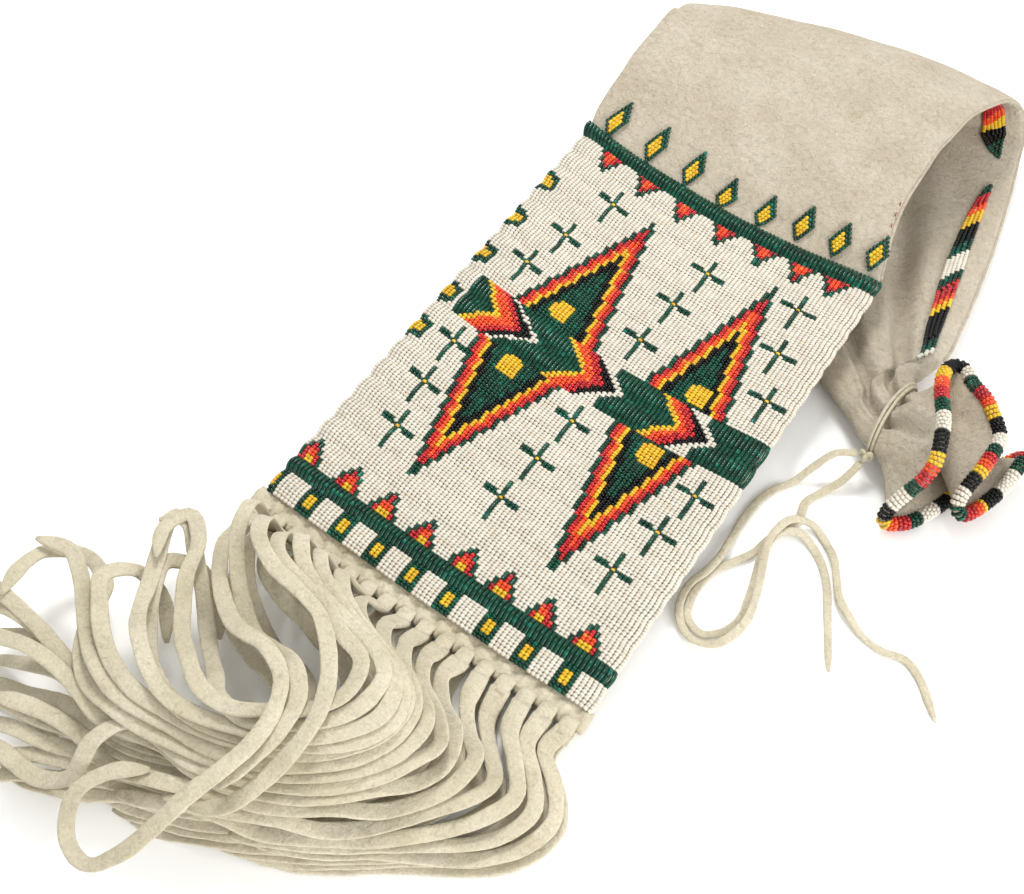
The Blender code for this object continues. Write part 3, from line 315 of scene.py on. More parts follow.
# Routes of the thongs over the table, in millimetres, from the hem outwards: under tail, then over tail.
THONG_ROUTES = (
    (((-77, -20), (-69, -39), (-58, -54), (-45, -64), (-27, -73), (-11, -79), (-1, -87), (2, -104),
      (-5, -122), (-20, -133), (-39, -140)),
     ((-79, -20), (-74, -37), (-63, -52), (-47, -66), (-30, -75), (-15, -76), (-5, -84), (1, -100),
      (-1, -121), (-7, -139), (-14, -156), (-22, -166), (-37, -164), (-44, -153), (-39, -139), (-28, -130))),
    (((-69, -18), (-63, -34), (-52, -48), (-36, -58), (-16, -63), (-3, -72), (2, -85), (-11, -99),
      (-31, -110), (-47, -120), (-69, -120), (-94, -112), (-120, -108), (-138, -107)),
     ((-69, -20), (-64, -37), (-55, -50), (-42, -61), (-28, -69), (-12, -72), (-1, -79), (5, -90), (4, -107),
      (0, -125))),
    (((-59, -18), (-55, -35), (-43, -44), (-24, -49), (-1, -55), (10, -63), (11, -78), (-3, -96), (-26, -110),
      (-43, -119), (-60, -122), (-84, -114), (-108, -110), (-131, -113)),
     ((-61, -20), (-57, -33), (-46, -44), (-30, -48), (-14, -52), (-1, -62), (9, -76), (14, -95), (11, -113),
      (5, -126), (-8, -133))),
    (((-51, -21), (-46, -35), (-33, -44), (-16, -51), (4, -56), (13, -66), (13, -81), (-4, -100), (-24, -112),
      (-41, -120), (-58, -124), (-77, -118), (-98, -115), (-119, -118), (-130, -121)),
     ((-51, -21), (-48, -34), (-37, -43), (-18, -46), (-3, -53), (11, -58), (15, -68), (11, -81), (-8, -96),
      (-22, -102), (-38, -95), (-58, -79), (-71, -61), (-78, -45), (-90, -41), (-91, -50), (-84, -64))),
    (((-41, -22), (-38, -34), (-23, -42), (-6, -49), (12, -55), (19, -66), (18, -81), (2, -100), (-18, -112),
      (-36, -121), (-54, -124), (-69, -120), (-86, -118), (-108, -120), (-124, -124)),
     ((-43, -21), (-38, -32), (-26, -41), (-11, -46), (7, -49), (20, -56), (22, -67), (19, -79), (1, -95),
      (-16, -101), (-34, -88), (-54, -71), (-71, -55), (-92, -42), (-96, -49))),
    (((-32, -21), (-28, -33), (-13, -40), (2, -46), (18, -53), (23, -64), (23, -80), (6, -100), (-14, -112),
      (-32, -121), (-49, -126), (-65, -126), (-82, -126), (-100, -128), (-116, -130)),
     ((-34, -21), (-29, -32), (-18, -39), (-5, -45), (13, -50), (24, -56), (30, -65), (23, -82), (5, -97),
      (-17, -106), (-37, -109), (-57, -100), (-73, -85), (-84, -65), (-99, -37))),
    (((-23, -21), (-19, -33), (-8, -43), (10, -47), (24, -53), (31, -64), (26, -82), (10, -101), (-10, -114),
      (-29, -123), (-46, -128), (-60, -129), (-70, -133), (-84, -136), (-106, -139)),
     ((-24, -21), (-19, -31), (-9, -40), (5, -46), (21, -51), (30, -58), (33, -68), (26, -85), (7, -98),
      (-14, -107), (-32, -109), (-51, -102), (-66, -89), (-77, -75), (-83, -63), (-77, -53), (-64, -56),
      (-50, -69))),
    (((-11, -22), (-7, -34), (5, -43), (21, -47), (32, -55), (34, -68), (28, -85), (12, -103), (-7, -115),
      (-25, -124), (-42, -130), (-55, -134), (-70, -140), (-85, -143), (-101, -146)),
     ((-13, -23), (-9, -33), (-1, -42), (15, -48), (29, -54), (34, -64), (31, -78), (18, -94), (-1, -104),
      (-19, -110), (-36, -112), (-54, -112), (-71, -105), (-84, -94), (-94, -83), (-90, -71), (-78, -70),
      (-66, -82))),
    (((0, -23), (5, -34), (16, -42), (30, -49), (37, -58), (38, -71), (31, -87), (15, -104), (-4, -116),
      (-20, -125), (-36, -131), (-50, -136), (-64, -142), (-76, -148), (-86, -157)),
     ((-1, -23), (3, -33), (11, -43), (26, -50), (35, -58), (37, -69), (32, -84), (16, -100), (-2, -110),
      (-20, -114), (-35, -115), (-51, -117), (-70, -112), (-85, -101), (-104, -85), (-119, -78),
      (-131, -82))),
    (((10, -22), (14, -34), (25, -43), (38, -51), (43, -61), (43, -74), (34, -89), (19, -106), (0, -117),
      (-16, -127), (-32, -133), (-46, -138), (-58, -146), (-71, -153), (-84, -162)),
     ((9, -23), (13, -33), (20, -43), (35, -52), (42, -60), (42, -72), (34, -87), (20, -101), (1, -111),
      (-18, -117), (-34, -120), (-52, -121), (-73, -116), (-89, -96), (-102, -77), (-115, -71), (-125, -77),
      (-125, -92), (-122, -109))),
    (((21, -24), (25, -37), (36, -46), (46, -53), (50, -63), (47, -77), (37, -92), (22, -108), (3, -119),
      (-12, -128), (-28, -135), (-42, -140), (-52, -148), (-69, -152), (-88, -151)),
     ((20, -24), (23, -35), (31, -45), (44, -53), (49, -61), (46, -74), (38, -89), (23, -103), (5, -113),
      (-15, -120), (-31, -120), (-44, -120), (-51, -131), (-52, -147), (-66, -152), (-91, -151))),
    (((30, -26), (35, -37), (45, -47), (54, -54), (56, -65), (51, -80), (39, -94), (24, -109), (7, -120),
      (-9, -130), (-24, -136), (-39, -140), (-56, -140), (-74, -136), (-89, -132), (-103, -133),
      (-114, -136)),
     ((29, -25), (32, -36), (42, -46), (51, -53), (54, -64), (50, -77), (40, -91), (26, -105), (8, -115),
      (-11, -121), (-27, -120), (-40, -122), (-57, -125), (-77, -120), (-96, -119), (-115, -122),
      (-125, -124))),
    (((43, -29), (48, -40), (57, -48), (64, -58), (62, -70), (54, -84), (43, -97), (27, -112), (9, -122),
      (-6, -131), (-22, -137), (-40, -142)),
     ((42, -29), (46, -39), (56, -48), (62, -57), (60, -69), (53, -82), (42, -95), (27, -108), (10, -118),
      (-8, -124), (-23, -131), (-43, -135), (-64, -132), (-82, -134), (-100, -139))),
    (((52, -26), (56, -38), (66, -46), (73, -55), (72, -68), (62, -83), (47, -99), (30, -113), (12, -124),
      (-3, -132), (-19, -137), (-33, -141)),
     ((51, -26), (54, -36), (64, -46), (70, -54), (68, -67), (58, -82), (45, -98), (29, -111), (13, -120),
      (-4, -128), (-19, -134))),
    (((61, -25), (66, -36), (76, -44), (83, -54), (82, -67), (71, -82), (54, -98), (35, -112), (17, -123),
      (2, -131)),
     ((59, -25), (64, -34), (73, -44), (80, -54), (77, -67), (66, -83), (51, -98), (32, -111), (14, -122),
      (-1, -128), (-14, -132))),
    (((70, -25), (75, -36), (85, -44), (91, -53), (91, -65), (81, -80), (63, -92), (44, -107), (25, -120),
      (8, -128)),
     ((68, -25), (72, -34), (82, -44), (88, -53), (86, -66), (75, -81), (56, -95), (37, -110), (19, -120),
      (4, -128))),
    (((77, -25), (83, -35), (93, -42), (98, -51), (97, -64), (87, -79), (71, -90), (52, -102), (35, -115),
      (16, -125)),
     ((76, -25), (81, -34), (91, -42), (96, -51), (94, -64), (83, -80), (67, -91), (48, -103), (30, -116),
      (11, -125))),
)

TIE_ROUTES = (
    ((115, 169), (107, 162), (100, 149), (92, 134), (90, 121), (90, 108), (91, 94), (90, 82), (87, 71),
     (88, 60), (91, 54), (99, 48), (107, 49), (113, 58), (115, 71), (111, 88), (105, 107), (106, 122),
     (111, 128), (120, 129), (132, 119), (143, 102), (157, 93), (169, 91), (178, 93), (186, 89), (200, 74)),
    ((119.5, 162), (116, 156), (111, 147), (108, 137), (110, 128), (105, 116), (101, 100), (93, 86), (90, 72),
     (93, 58), (100, 53), (104, 54), (112, 65), (110, 84), (105, 106), (107, 119), (117, 122), (131, 112),
     (143, 91), (154, 69)),
)


def unit(vector):
    return vector / np.linalg.norm(vector)


def circle(points):
    """Cosines and sines of points evenly round a circle."""
    angles = 2 * np.pi * np.arange(points) / points
    return np.cos(angles), np.sin(angles)


def squared(values, power):
    """Cosines or sines pushed out towards a square: the smaller the power, the squarer."""
    return np.sign(values) * np.abs(values) ** power


def heading(path, k):
    """The way a path runs at its point k."""
    return unit(path[min(k + 1, len(path) - 1)] - path[max(k - 1, 0)])


def travelled(points):
    """How far along a path each of its points lies."""
    return np.concatenate([[0], np.cumsum(np.linalg.norm(np.diff(points, axis=0), axis=1))])


def picked(at, along, points):
    """What a table's rows say at these lengths: along gives the length of each row."""
    return np.stack([np.interp(at, along, column) for column in points.T], axis=-1)


def curve_through(points, fraction):
    """The point at a fraction, from 0 to 1, of a smooth curve through points (centripetal Catmull-Rom)."""
    points = np.asarray(points, float)
    steps = np.sqrt(np.linalg.norm(np.diff(points, axis=0), axis=1))
    ends = np.vstack([2 * points[0] - points[1], points, 2 * points[-1] - points[-2]])
    knots = np.concatenate([[-steps[0]], [0], np.cumsum(steps), [steps.sum() + steps[-1]]])
    at = np.clip(fraction, 0, 1) * steps.sum()
    i = int(np.clip(np.searchsorted(knots, at, side="right") - 1, 1, len(points) - 1))
    t0, t1, t2, t3 = knots[i - 1 : i + 3]
    p0, p1, p2, p3 = ends[i - 1 : i + 3]
    a1 = (p0 * (t1 - at) + p1 * (at - t0)) / (t1 - t0)
    a2 = (p1 * (t2 - at) + p2 * (at - t1)) / (t2 - t1)
    a3 = (p2 * (t3 - at) + p3 * (at - t2)) / (t3 - t2)
    b1 = (a1 * (t2 - at) + a2 * (at - t0)) / (t2 - t0)
    b2 = (a2 * (t3 - at) + a3 * (at - t1)) / (t3 - t1)
    return (b1 * (t2 - at) + b2 * (at - t1)) / (t2 - t1)


def evenly_along(points, spacing):
    """Points at even steps along the smooth curve through points."""
    fine = np.array([curve_through(points, f) for f in np.linspace(0, 1, 12 * len(points))])
    length = travelled(fine)
    count = max(2, round(length[-1] / spacing) + 1)
    return picked(np.linspace(0, length[-1], count), length, fine)


def path_length(path):
    return float(np.linalg.norm(np.diff(path, axis=0), axis=1).sum())


def hem_shift(x):
    """How far the hem lies from y = 0 at x, along the bag's slightly skewed end."""
    left, middle, right = HEM_EDGE
    side = 2 * x / BAG_WIDTH
    return middle + side * (right - left) / 2 + side * side * ((left + right) / 2 - middle)


def panel_origin():
    """Where the panel's own origin lies in the row frame: the hem's solid gives it."""
    low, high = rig.box("fringe_hem")
    across = (low.x + high.x) / 2
    up = low.y + GAP + HEM_LENGTH - hem_shift(HEM_WIDTH / 2)
    return np.array((across, up, low.z - (HEM_HEIGHT - HEM_THICKNESS / 2)))


ORIGIN = panel_origin()


def placed(name, data):
    """A new object of the scene, at the row frame's origin."""
    made = bpy.data.objects.new(name, data)
    bpy.context.scene.collection.objects.link(made)
    return made


def place_camera():
    """The photograph's viewpoint, found from the bead panel's perspective: above and right of the fringe."""
    eye = np.array((163.2, -253.1, 512.6)) * MM + ORIGIN
    right = Vector((0.8315, 0.5501, 0.0771))
    down = Vector((0.4812, -0.6441, -0.5947))
    forward = Vector((-0.2775, 0.5316, -0.8003))
    data = bpy.data.cameras.new("camera")
    data.sensor_fit = "HORIZONTAL"
    data.sensor_width = 36
    data.lens = 49.87
    data.clip_start = 0.02
    camera = placed("camera", data)
    turn = Matrix((right, -down, -forward)).transposed().to_4x4()
    camera.matrix_world = Matrix.Translation(Vector(eye)) @ turn
    bpy.context.scene.camera = camera


def linear(value):
    return value / 12.92 if value <= 0.04045 else ((value + 0.055) / 1.055) ** 2.4


def colour(code):
    """A linear colour from an sRGB hex code."""
    parts = [int(code[k : k + 2], 16) / 255 for k in (1, 3, 5)]
    return (*(linear(part) for part in parts), 1)


def add(tree, kind, inputs=None, **settings):
    """Adds a node with its settings; an input takes a number, a colour or another node's output."""
    made = tree.nodes.new(kind)
    for name, value in settings.items():
        setattr(made, name, value)
    for key, value in (inputs or {}).items():
        if isinstance(value, bpy.types.NodeSocket):
            tree.links.new(value, made.inputs[key])
        else:
            made.inputs[key].default_value = value
    return made


def blank_material(name):
    """A material with only an output node, and its node tree."""
    made = bpy.data.materials.new(name)
    made.use_nodes = True
    made.node_tree.nodes.clear()
    return made, made.node_tree


def tanned_hide(name, light, shade, stain, nap):
    """Brain-tanned white buckskin, scraped to a suede nap: no gloss, a felted grain, soft warm mottling."""
    made, tree = blank_material(name)
    where = add(tree, "ShaderNodeTexCoord").outputs["Object"]
    # Cloudy mottling about 25 mm across, from uneven scraping and handling
    cloud = add(tree, "ShaderNodeTexNoise", {"Vector": where, "Scale": 40, "Detail": 4, "Roughness": 0.6})
    # Felted nap, fibres about 0.5 mm apart, drawn at 1 mm so that it shows
    felt = add(tree, "ShaderNodeTexNoise", {"Vector": where, "Scale": 950, "Detail": 4, "Roughness": 0.75})
    # Open grain and scrape marks about 3 mm across
    grain = add(tree, "ShaderNodeTexNoise",
                {"Vector": where, "Scale": 320, "Detail": 5, "Roughness": 0.65, "Distortion": 0.5})
    # Faint tan specks where grain was left on, about 12 mm apart
    speck = add(tree, "ShaderNodeTexNoise", {"Vector": where, "Scale": 85, "Detail": 8, "Roughness": 0.75})
    spread = add(tree, "ShaderNodeMapRange",
                 {"Value": cloud.outputs["Fac"], "From Min": 0.36, "From Max": 0.66})
    base = add(tree, "ShaderNodeMix", {0: spread.outputs[0], 6: colour(light), 7: colour(shade)},
               data_type="RGBA")
    marks = add(tree, "ShaderNodeMapRange",
                {"Value": speck.outputs["Fac"], "From Min": 0.57, "From Max": 0.72, "To Max": 0.55})
    spotted = add(tree, "ShaderNodeMix", {0: marks.outputs[0], 6: base.outputs[2], 7: colour(stain)},
                  data_type="RGBA")
    # Darker in the grain's and the nap's hollows, where their bumps dip: partly the suede's own tone, partly painted
    # shade
    pits = add(tree, "ShaderNodeMapRange", {
        "Value": grain.outputs["Fac"], "From Min": 0.3, "From Max": 0.52, "To Min": 0.8, "To Max": 1.0})
    fibre = add(tree, "ShaderNodeMapRange", {
        "Value": felt.outputs["Fac"], "From Min": 0.35, "From Max": 0.65, "To Min": 0.86, "To Max": 1.08})
    both = add(tree, "ShaderNodeMath", {0: pits.outputs[0], 1: fibre.outputs[0]}, operation="MULTIPLY")
    # The hide's colour times that darkening: grain tone plus painted shade in the hollows
    grain_tone_and_hollow_shade = add(tree, "ShaderNodeMix", {0: 1.0, 6: spotted.outputs[2], 7: both.outputs[0]},
               data_type="RGBA", blend_type="MULTIPLY")
    coarse = add(tree, "ShaderNodeBump", {"Height": grain.outputs["Fac"],
                                          "Strength": nap, "Distance": 2.2 * MM})
    fine = add(tree, "ShaderNodeBump", {"Height": felt.outputs["Fac"], "Normal": coarse.outputs[0],
                                        "Strength": nap, "Distance": 1.0 * MM})
    shader = add(tree, "ShaderNodeBsdfPrincipled", {
        "Base Color": grain_tone_and_hollow_shade.outputs[2], "Roughness": 0.92, "IOR": 1.45, "Specular IOR Level": 0.2,
        "Normal": fine.outputs[0], "Sheen Weight": 0.12, "Sheen Roughness": 0.6})
    add(tree, "ShaderNodeOutputMaterial", {"Surface": shader.outputs[0]})
    return made


def seed_bead_glass(name, light, dark, odd, roughness, coat, gloss):
    """Drawn glass seed beads: a clean gloss, each bead a shade off its neighbours, slightly uneven walls."""
    made, tree = blank_material(name)
    tint = add(tree, "ShaderNodeAttribute", attribute_name="tint").outputs["Fac"]
    where = add(tree, "ShaderNodeTexCoord").outputs["Object"]
    # Dimples in the drawn glass, about 0.8 mm across, half a bead
    dimple = add(tree, "ShaderNodeTexNoise", {"Vector": where, "Scale": 1200, "Detail": 1})
    # Batches of beads strung together change shade every 30 mm or so
    batch = add(tree, "ShaderNodeTexNoise", {"Vector": where, "Scale": 33, "Detail": 2})
    blended = add(tree, "ShaderNodeMath", {0: tint, 1: batch.outputs["Fac"]}, operation="ADD")
    share = add(tree, "ShaderNodeMapRange", {"Value": blended.outputs[0], "From Min": 0.5, "From Max": 1.4})
    glass = add(tree, "ShaderNodeMix", {0: share.outputs[0], 6: colour(light), 7: colour(dark)},
                data_type="RGBA")
    rare = add(tree, "ShaderNodeMapRange", {"Value": tint, "From Min": 0.93, "From Max": 0.97})
    mixed = add(tree, "ShaderNodeMix", {0: rare.outputs[0], 6: glass.outputs[2], 7: colour(odd)},
                data_type="RGBA")
    uneven = add(tree, "ShaderNodeBump", {"Height": dimple.outputs["Fac"], "Strength": 0.3,
                                          "Distance": 0.08 * MM})
    shader = add(tree, "ShaderNodeBsdfPrincipled", {
        "Base Color": mixed.outputs[2], "Roughness": roughness, "IOR": 1.5, "Normal": uneven.outputs[0],
        "Specular IOR Level": gloss, "Coat Weight": coat, "Coat Roughness": 0.08})
    add(tree, "ShaderNodeOutputMaterial", {"Surface": shader.outputs[0]})
    return made


def cotton_thread(name, code):
    """Waxed sewing thread: matt, with a fine two-ply twist."""
    made, tree = blank_material(name)
    where = add(tree, "ShaderNodeTexCoord").outputs["Object"]
    # Twist about 0.6 mm long
    twist = add(tree, "ShaderNodeTexNoise", {"Vector": where, "Scale": 1600, "Detail": 2})
    shades = add(tree, "ShaderNodeMix", {0: twist.outputs["Fac"], 6: colour(code), 7: colour("#4A1512")},
                 data_type="RGBA")
    shader = add(tree, "ShaderNodeBsdfPrincipled", {"Base Color": shades.outputs[2], "Roughness": 0.75})
    add(tree, "ShaderNodeOutputMaterial", {"Surface": shader.outputs[0]})
    return made


def pale_table():
    """Matt white paper under the bag: it takes only a soft shadow."""
    made, tree = blank_material("matt_white_paper")
    shader = add(tree, "ShaderNodeBsdfPrincipled", {"Base Color": colour("#FCFCFA"), "Roughness": 0.85,
                                                    "Specular IOR Level": 0.1})
    add(tree, "ShaderNodeOutputMaterial", {"Surface": shader.outputs[0]})
    return made


def stations():
    """Rows of left, middle, right, half thickness, squareness and pleat depth, in metres."""
    half = BAG_WIDTH / 2
    rows = []
    for ends, z in ((HEM_EDGE, BAG_HALF_THICKNESS), ((PANEL_REACH,) * 3, BAG_HALF_THICKNESS + PANEL_RISE)):
        left, middle, right = ends
        rows.append([-half, left, z, 0, middle, z, half, right, z, BAG_HALF_THICKNESS, 4, 0])
    top = np.array([0, rows[1][1], rows[1][2]])
    for left, middle, right, thickness, squareness, pleat in BEYOND_PANEL:
        edges = [np.array(p) * MM + top for p in (left, middle, right)]
        rows.append([*edges[0], *edges[1], *edges[2], thickness * MM, squareness, pleat * MM])
    return np.array(rows)


class HideTube:
    """The flat tube's shape: v runs along its middle from the hem, x runs from -1 to 1 across it.

    Its calls take arrays, so that a whole row of beads is placed at once.
    """

    def __init__(self):
        rows = stations()
        lead = rows[1] + (rows[0] - rows[1]) * 0.06
        bent = np.vstack([lead, rows[1:]])
        fractions = np.linspace(0, 1, 400)
        fine = np.array([curve_through(bent, f) for f in fractions])
        along = travelled(fine[:, 3:6]) + PANEL_LENGTH - np.linalg.norm(lead[3:6] - rows[1][3:6])
        self.length = along[-1]
        self.stops = np.arange(PANEL_LENGTH, self.length, 1 * MM)
        table = [curve_through(bent, np.interp(v, along, fractions)) for v in self.stops]
        self.stops = np.concatenate([[0], self.stops])
        self.table = np.vstack([rows[0], table])

    def row(self, v):
        return picked(v, self.stops, self.table)

    def across(self, row, x):
        left, middle, right = row[..., 0:3], row[..., 3:6], row[..., 6:9]
        bend = (left + right) / 2 - middle
        x = np.asarray(x, float)[..., None]
        return middle + x * (right - left) / 2 + x * x * bend, (right - left) / 2 + 2 * x * bend

    def frame(self, v, x):
        """Points on the middle sheet, and the direction out of the face that carries the beads."""
        v, x = np.broadcast_arrays(np.asarray(v, float), np.asarray(x, float))
        low = self.row(np.maximum(v - 2 * MM, 0))
        high = self.row(np.minimum(v + 2 * MM, self.length))
        row = self.row(v)
        calm = 0.6 * x
        forward = self.across(high, calm)[0] - self.across(low, calm)[0]
        out = np.cross(self.across(row, calm)[1], forward)
        return self.across(row, x)[0], out / np.linalg.norm(out, axis=-1)[..., None]

    def skin(self, v, x, offset):
        """Points over the sheet's other face, the one that looks up where the bag lies folded back."""
        row = self.row(v)
        here, out = self.frame(v, x)
        depth = row[..., 9] * (1 - np.abs(x) ** row[..., 10]) ** (1 / row[..., 10]) + offset
        return here - out * depth[..., None]

    def ring(self, v, grow=0.0, pleats=ROLL_DEPTH, points=SECTION_POINTS):
        """One closed section, flattened where it rests on the table; pleats scales its gathers' depth."""
        row = self.row(v)
        thick, squareness, pleat = row[9:12]
        width = np.linalg.norm(row[6:9] - row[0:3]) / 2
        c, s = circle(points)
        x = squared(c, 2 / squareness) * (1 + grow / width)
        z = squared(s, 2 / squareness) * (thick + grow)
        # The gathers stop short of the side seams, and never cut through the tube
        inner = np.clip((0.86 - np.abs(x)) / 0.12, 0, 1)
        valley = np.abs(np.cos(np.pi * ROLLS * (x + 1) / 2)) ** 7
        fine = np.abs(np.cos(np.pi * CREASES * (x + 1.07) / 2)) ** 4
        depth = pleats * (max(pleat, 0) ** 0.6 * DEEPEST**0.4) * inner * (valley + 0.06 * fine)
        z -= np.sign(s) * np.minimum(depth, 0.82 * np.abs(z))
        here, out = self.frame(np.full(points, v), x)
        ring = here + out * z[:, None]
        ring[:, 2] = np.maximum(ring[:, 2], 0)
        return ring


def mesh_from(bm, name, finish):
    """A finished piece: its object at the row frame's origin, its place in its mesh."""
    bmesh.ops.recalc_face_normals(bm, faces=bm.faces)
    bmesh.ops.translate(bm, verts=bm.verts, vec=ORIGIN)
    data = bpy.data.meshes.new(name)
    bm.to_mesh(data)
    bm.free()
    data.materials.append(finish)
    data.shade_smooth()
    return placed(name, data)


def ring_grid(rings, closed):
    """A grid laid on closed rings, its seam welded; a closed one also joins its last ring to its first."""
    rings = np.asarray(rings)
    rows, points = rings.shape[:2]
    runs = rows if closed else rows - 1
    bm = bmesh.new()
    bmesh.ops.create_grid(bm, x_segments=points, y_segments=runs, size=1)
    for vert in bm.verts:
        i = round((vert.co.y + 1) / 2 * runs)
        j = round((vert.co.x + 1) / 2 * points)
        vert.co = Vector(rings[i % rows, j % points])
    bmesh.ops.remove_doubles(bm, verts=bm.verts, dist=1e-7)
    return bm


def close_ends(bm):
    """Fills each open end of a grid with triangles."""
    open_edges = [edge for edge in bm.edges if edge.is_boundary]
    bmesh.ops.holes_fill(bm, edges=open_edges, sides=0)
    bmesh.ops.triangulate(bm, faces=[face for face in bm.faces if len(face.verts) > 4])


def lofted(name, rings, finish):
    """A closed body through closed rings, with a face across each end."""
    bm = ring_grid(rings, closed=False)
    close_ends(bm)
    return mesh_from(bm, name, finish)


def looped(name, rings, finish):
    """A closed body like a bangle through closed rings."""
    return mesh_from(ring_grid(rings, closed=True), name, finish)


def settle(piece, slot, *nodes):
    """Says what a finished piece is: it rides the bag, takes a slot's finish and stands for CAD nodes."""
    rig.ride(piece, "root")
    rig.slot(piece, slot)
    if nodes:
        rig.replaces(piece, *nodes)


class Pile:
    """The height of what lies on the table already, on a grid, for strips that are laid over it."""

    def __init__(self, low, high):
        self.low = np.array(low)
        self.size = np.ceil((np.array(high) - self.low) / CELL).astype(int)
        self.height = np.zeros(self.size)

    def cells(self, x, y, reach):
        i, j = (int(v) for v in (np.array((x, y)) - self.low) / CELL)
        n = math.ceil(reach / CELL)
        a0, a1 = max(i - n, 0), min(i + n + 1, self.size[0])
        b0, b1 = max(j - n, 0), min(j + n + 1, self.size[1])
        grid = np.mgrid[a0:a1, b0:b1]
        gx = self.low[0] + (grid[0] + 0.5) * CELL - x
        gy = self.low[1] + (grid[1] + 0.5) * CELL - y
        return (slice(a0, a1), slice(b0, b1)), gx * gx + gy * gy <= reach * reach

    def stamp(self, start, end, reach):
        """The cells near a straight run, window by window, with how far along the run each lies."""
        steps = max(2, math.ceil(np.linalg.norm(end - start) / CELL) + 1)
        for f in np.linspace(0, 1, steps):
            yield (*self.cells(*(start + (end - start) * f), reach), f)

    def lay(self, route, first, width, thickness):
        """Heights for the points of a strip's route, clear of all that lies below, and adds the strip."""
        count = len(route)
        spans = np.linalg.norm(np.diff(route, axis=0), axis=1)
        behind = math.ceil(SELF_CLEARANCE / spans.mean())
        heights = np.zeros(count)
        for _ in range(3):
            earlier = self.height.copy()
            need = np.full(count, thickness / 2 + TABLE_CLEARANCE)
            for k in range(count - 1):
                if k >= behind:
                    j = k - behind
                    for window, inside, f in self.stamp(route[j], route[j + 1], width / 2 + COVERS):
                        top = heights[j] * (1 - f) + heights[j + 1] * f + thickness / 2
                        part = earlier[window]
                        part[inside] = np.maximum(part[inside], top)
                top = 0.0
                for window, inside, _ in self.stamp(route[k], route[k + 1], width / 2 + FEELS):
                    top = max(top, float((earlier[window] * inside).max()))
                need[k : k + 2] = np.maximum(need[k : k + 2], top + GAP + thickness / 2)
            need[0] = first
            for k in range(1, count):
                need[k] = max(need[k], need[k - 1] - STEEPEST * spans[k - 1])
            for k in range(count - 2, 0, -1):
                need[k] = max(need[k], need[k + 1] - STEEPEST * spans[k])
            heights = need
        for k in range(count - 1):
            for window, inside, f in self.stamp(route[k], route[k + 1], width / 2 + COVERS):
                top = heights[k] * (1 - f) + heights[k + 1] * f + thickness / 2
                part = self.height[window]
                part[inside] = np.maximum(part[inside], top)
        return heights


def wander(seed, along, scale):
    """A slow random swing between -1 and 1 along a strip."""
    return 1.6 * noise.noise(Vector((along / scale, seed * 7.31, 0.37 * seed)))


def soft_strip(path, width, thickness, side, seed, head=0.0, crease=0.0):
    """Rounded sections of a cut hide strip along a fine path: it swells, cups and rolls a little as it lies.

    head is the length over which it starts fuller; crease is the depth of a groove along its upper face.
    """
    rings = []
    along = travelled(path)
    c, s = circle(14)
    flat = squared(c, 0.5)
    tall = squared(s, 0.6)
    for k, here in enumerate(path):
        ahead = heading(path, k)
        lying = np.array([ahead[0], ahead[1]])
        if np.linalg.norm(lying) > SLOPE_SEEN:
            level = np.array([-lying[1], lying[0], 0]) / np.linalg.norm(lying)
            side = level if level @ side > 0 else -level
        up = unit(np.cross(ahead, side))
        if up[2] < 0 and np.linalg.norm(lying) > SLOPE_SEEN:
            up = -up
        roll = STRIP_LEAN * wander(seed, along[k], 26 * MM) * min(1, along[k] / LEAN_STARTS)
        across = side * math.cos(roll) + up * math.sin(roll)
        over = up * math.cos(roll) - side * math.sin(roll)
        tip = min(1, (along[-1] - along[k]) / TIP_LENGTH) ** 0.7
        swell = 1 + 0.09 * wander(seed + 40, along[k], 17 * MM) + 0.04 * wander(seed + 20, along[k], 4 * MM)
        half = width / 2 * swell * (0.25 + 0.75 * tip)
        rise = thickness / 2 * (1 + 0.12 * wander(seed + 80, along[k], 11 * MM)) * (0.6 + 0.4 * tip)
        if head:
            fuller = 1 / (1 + math.exp((along[k] - head) / HEAD_FADE))
            half += (HEAD_WIDTH - width) / 2 * fuller
            rise *= 1 + HEAD_RISE * fuller
        cup = STRIP_CUP * wander(seed + 120, along[k], 24 * MM)
        groove = crease * np.exp(-((flat * half) / GROOVE_WIDTH) ** 2) * (s > 0)
        lift = tall * rise + cup * (flat**2 - 0.5) - groove
        ring = here + np.outer(flat * half, across) + np.outer(lift, over)
        ring[:, 2] = np.maximum(ring[:, 2], 0.05 * MM)
        rings.append(ring)
    return rings


def slot_centres():
    return [(k - (THONGS - 1) / 2) * THONG_PITCH for k in range(THONGS)]


def declare_cord(piece, path, width):
    path = path + ORIGIN
    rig.cord(piece, exit=path[0], length=path_length(path), diameter=width, far_end="bare",
            stiffness="limp", lay="loose", path=path)


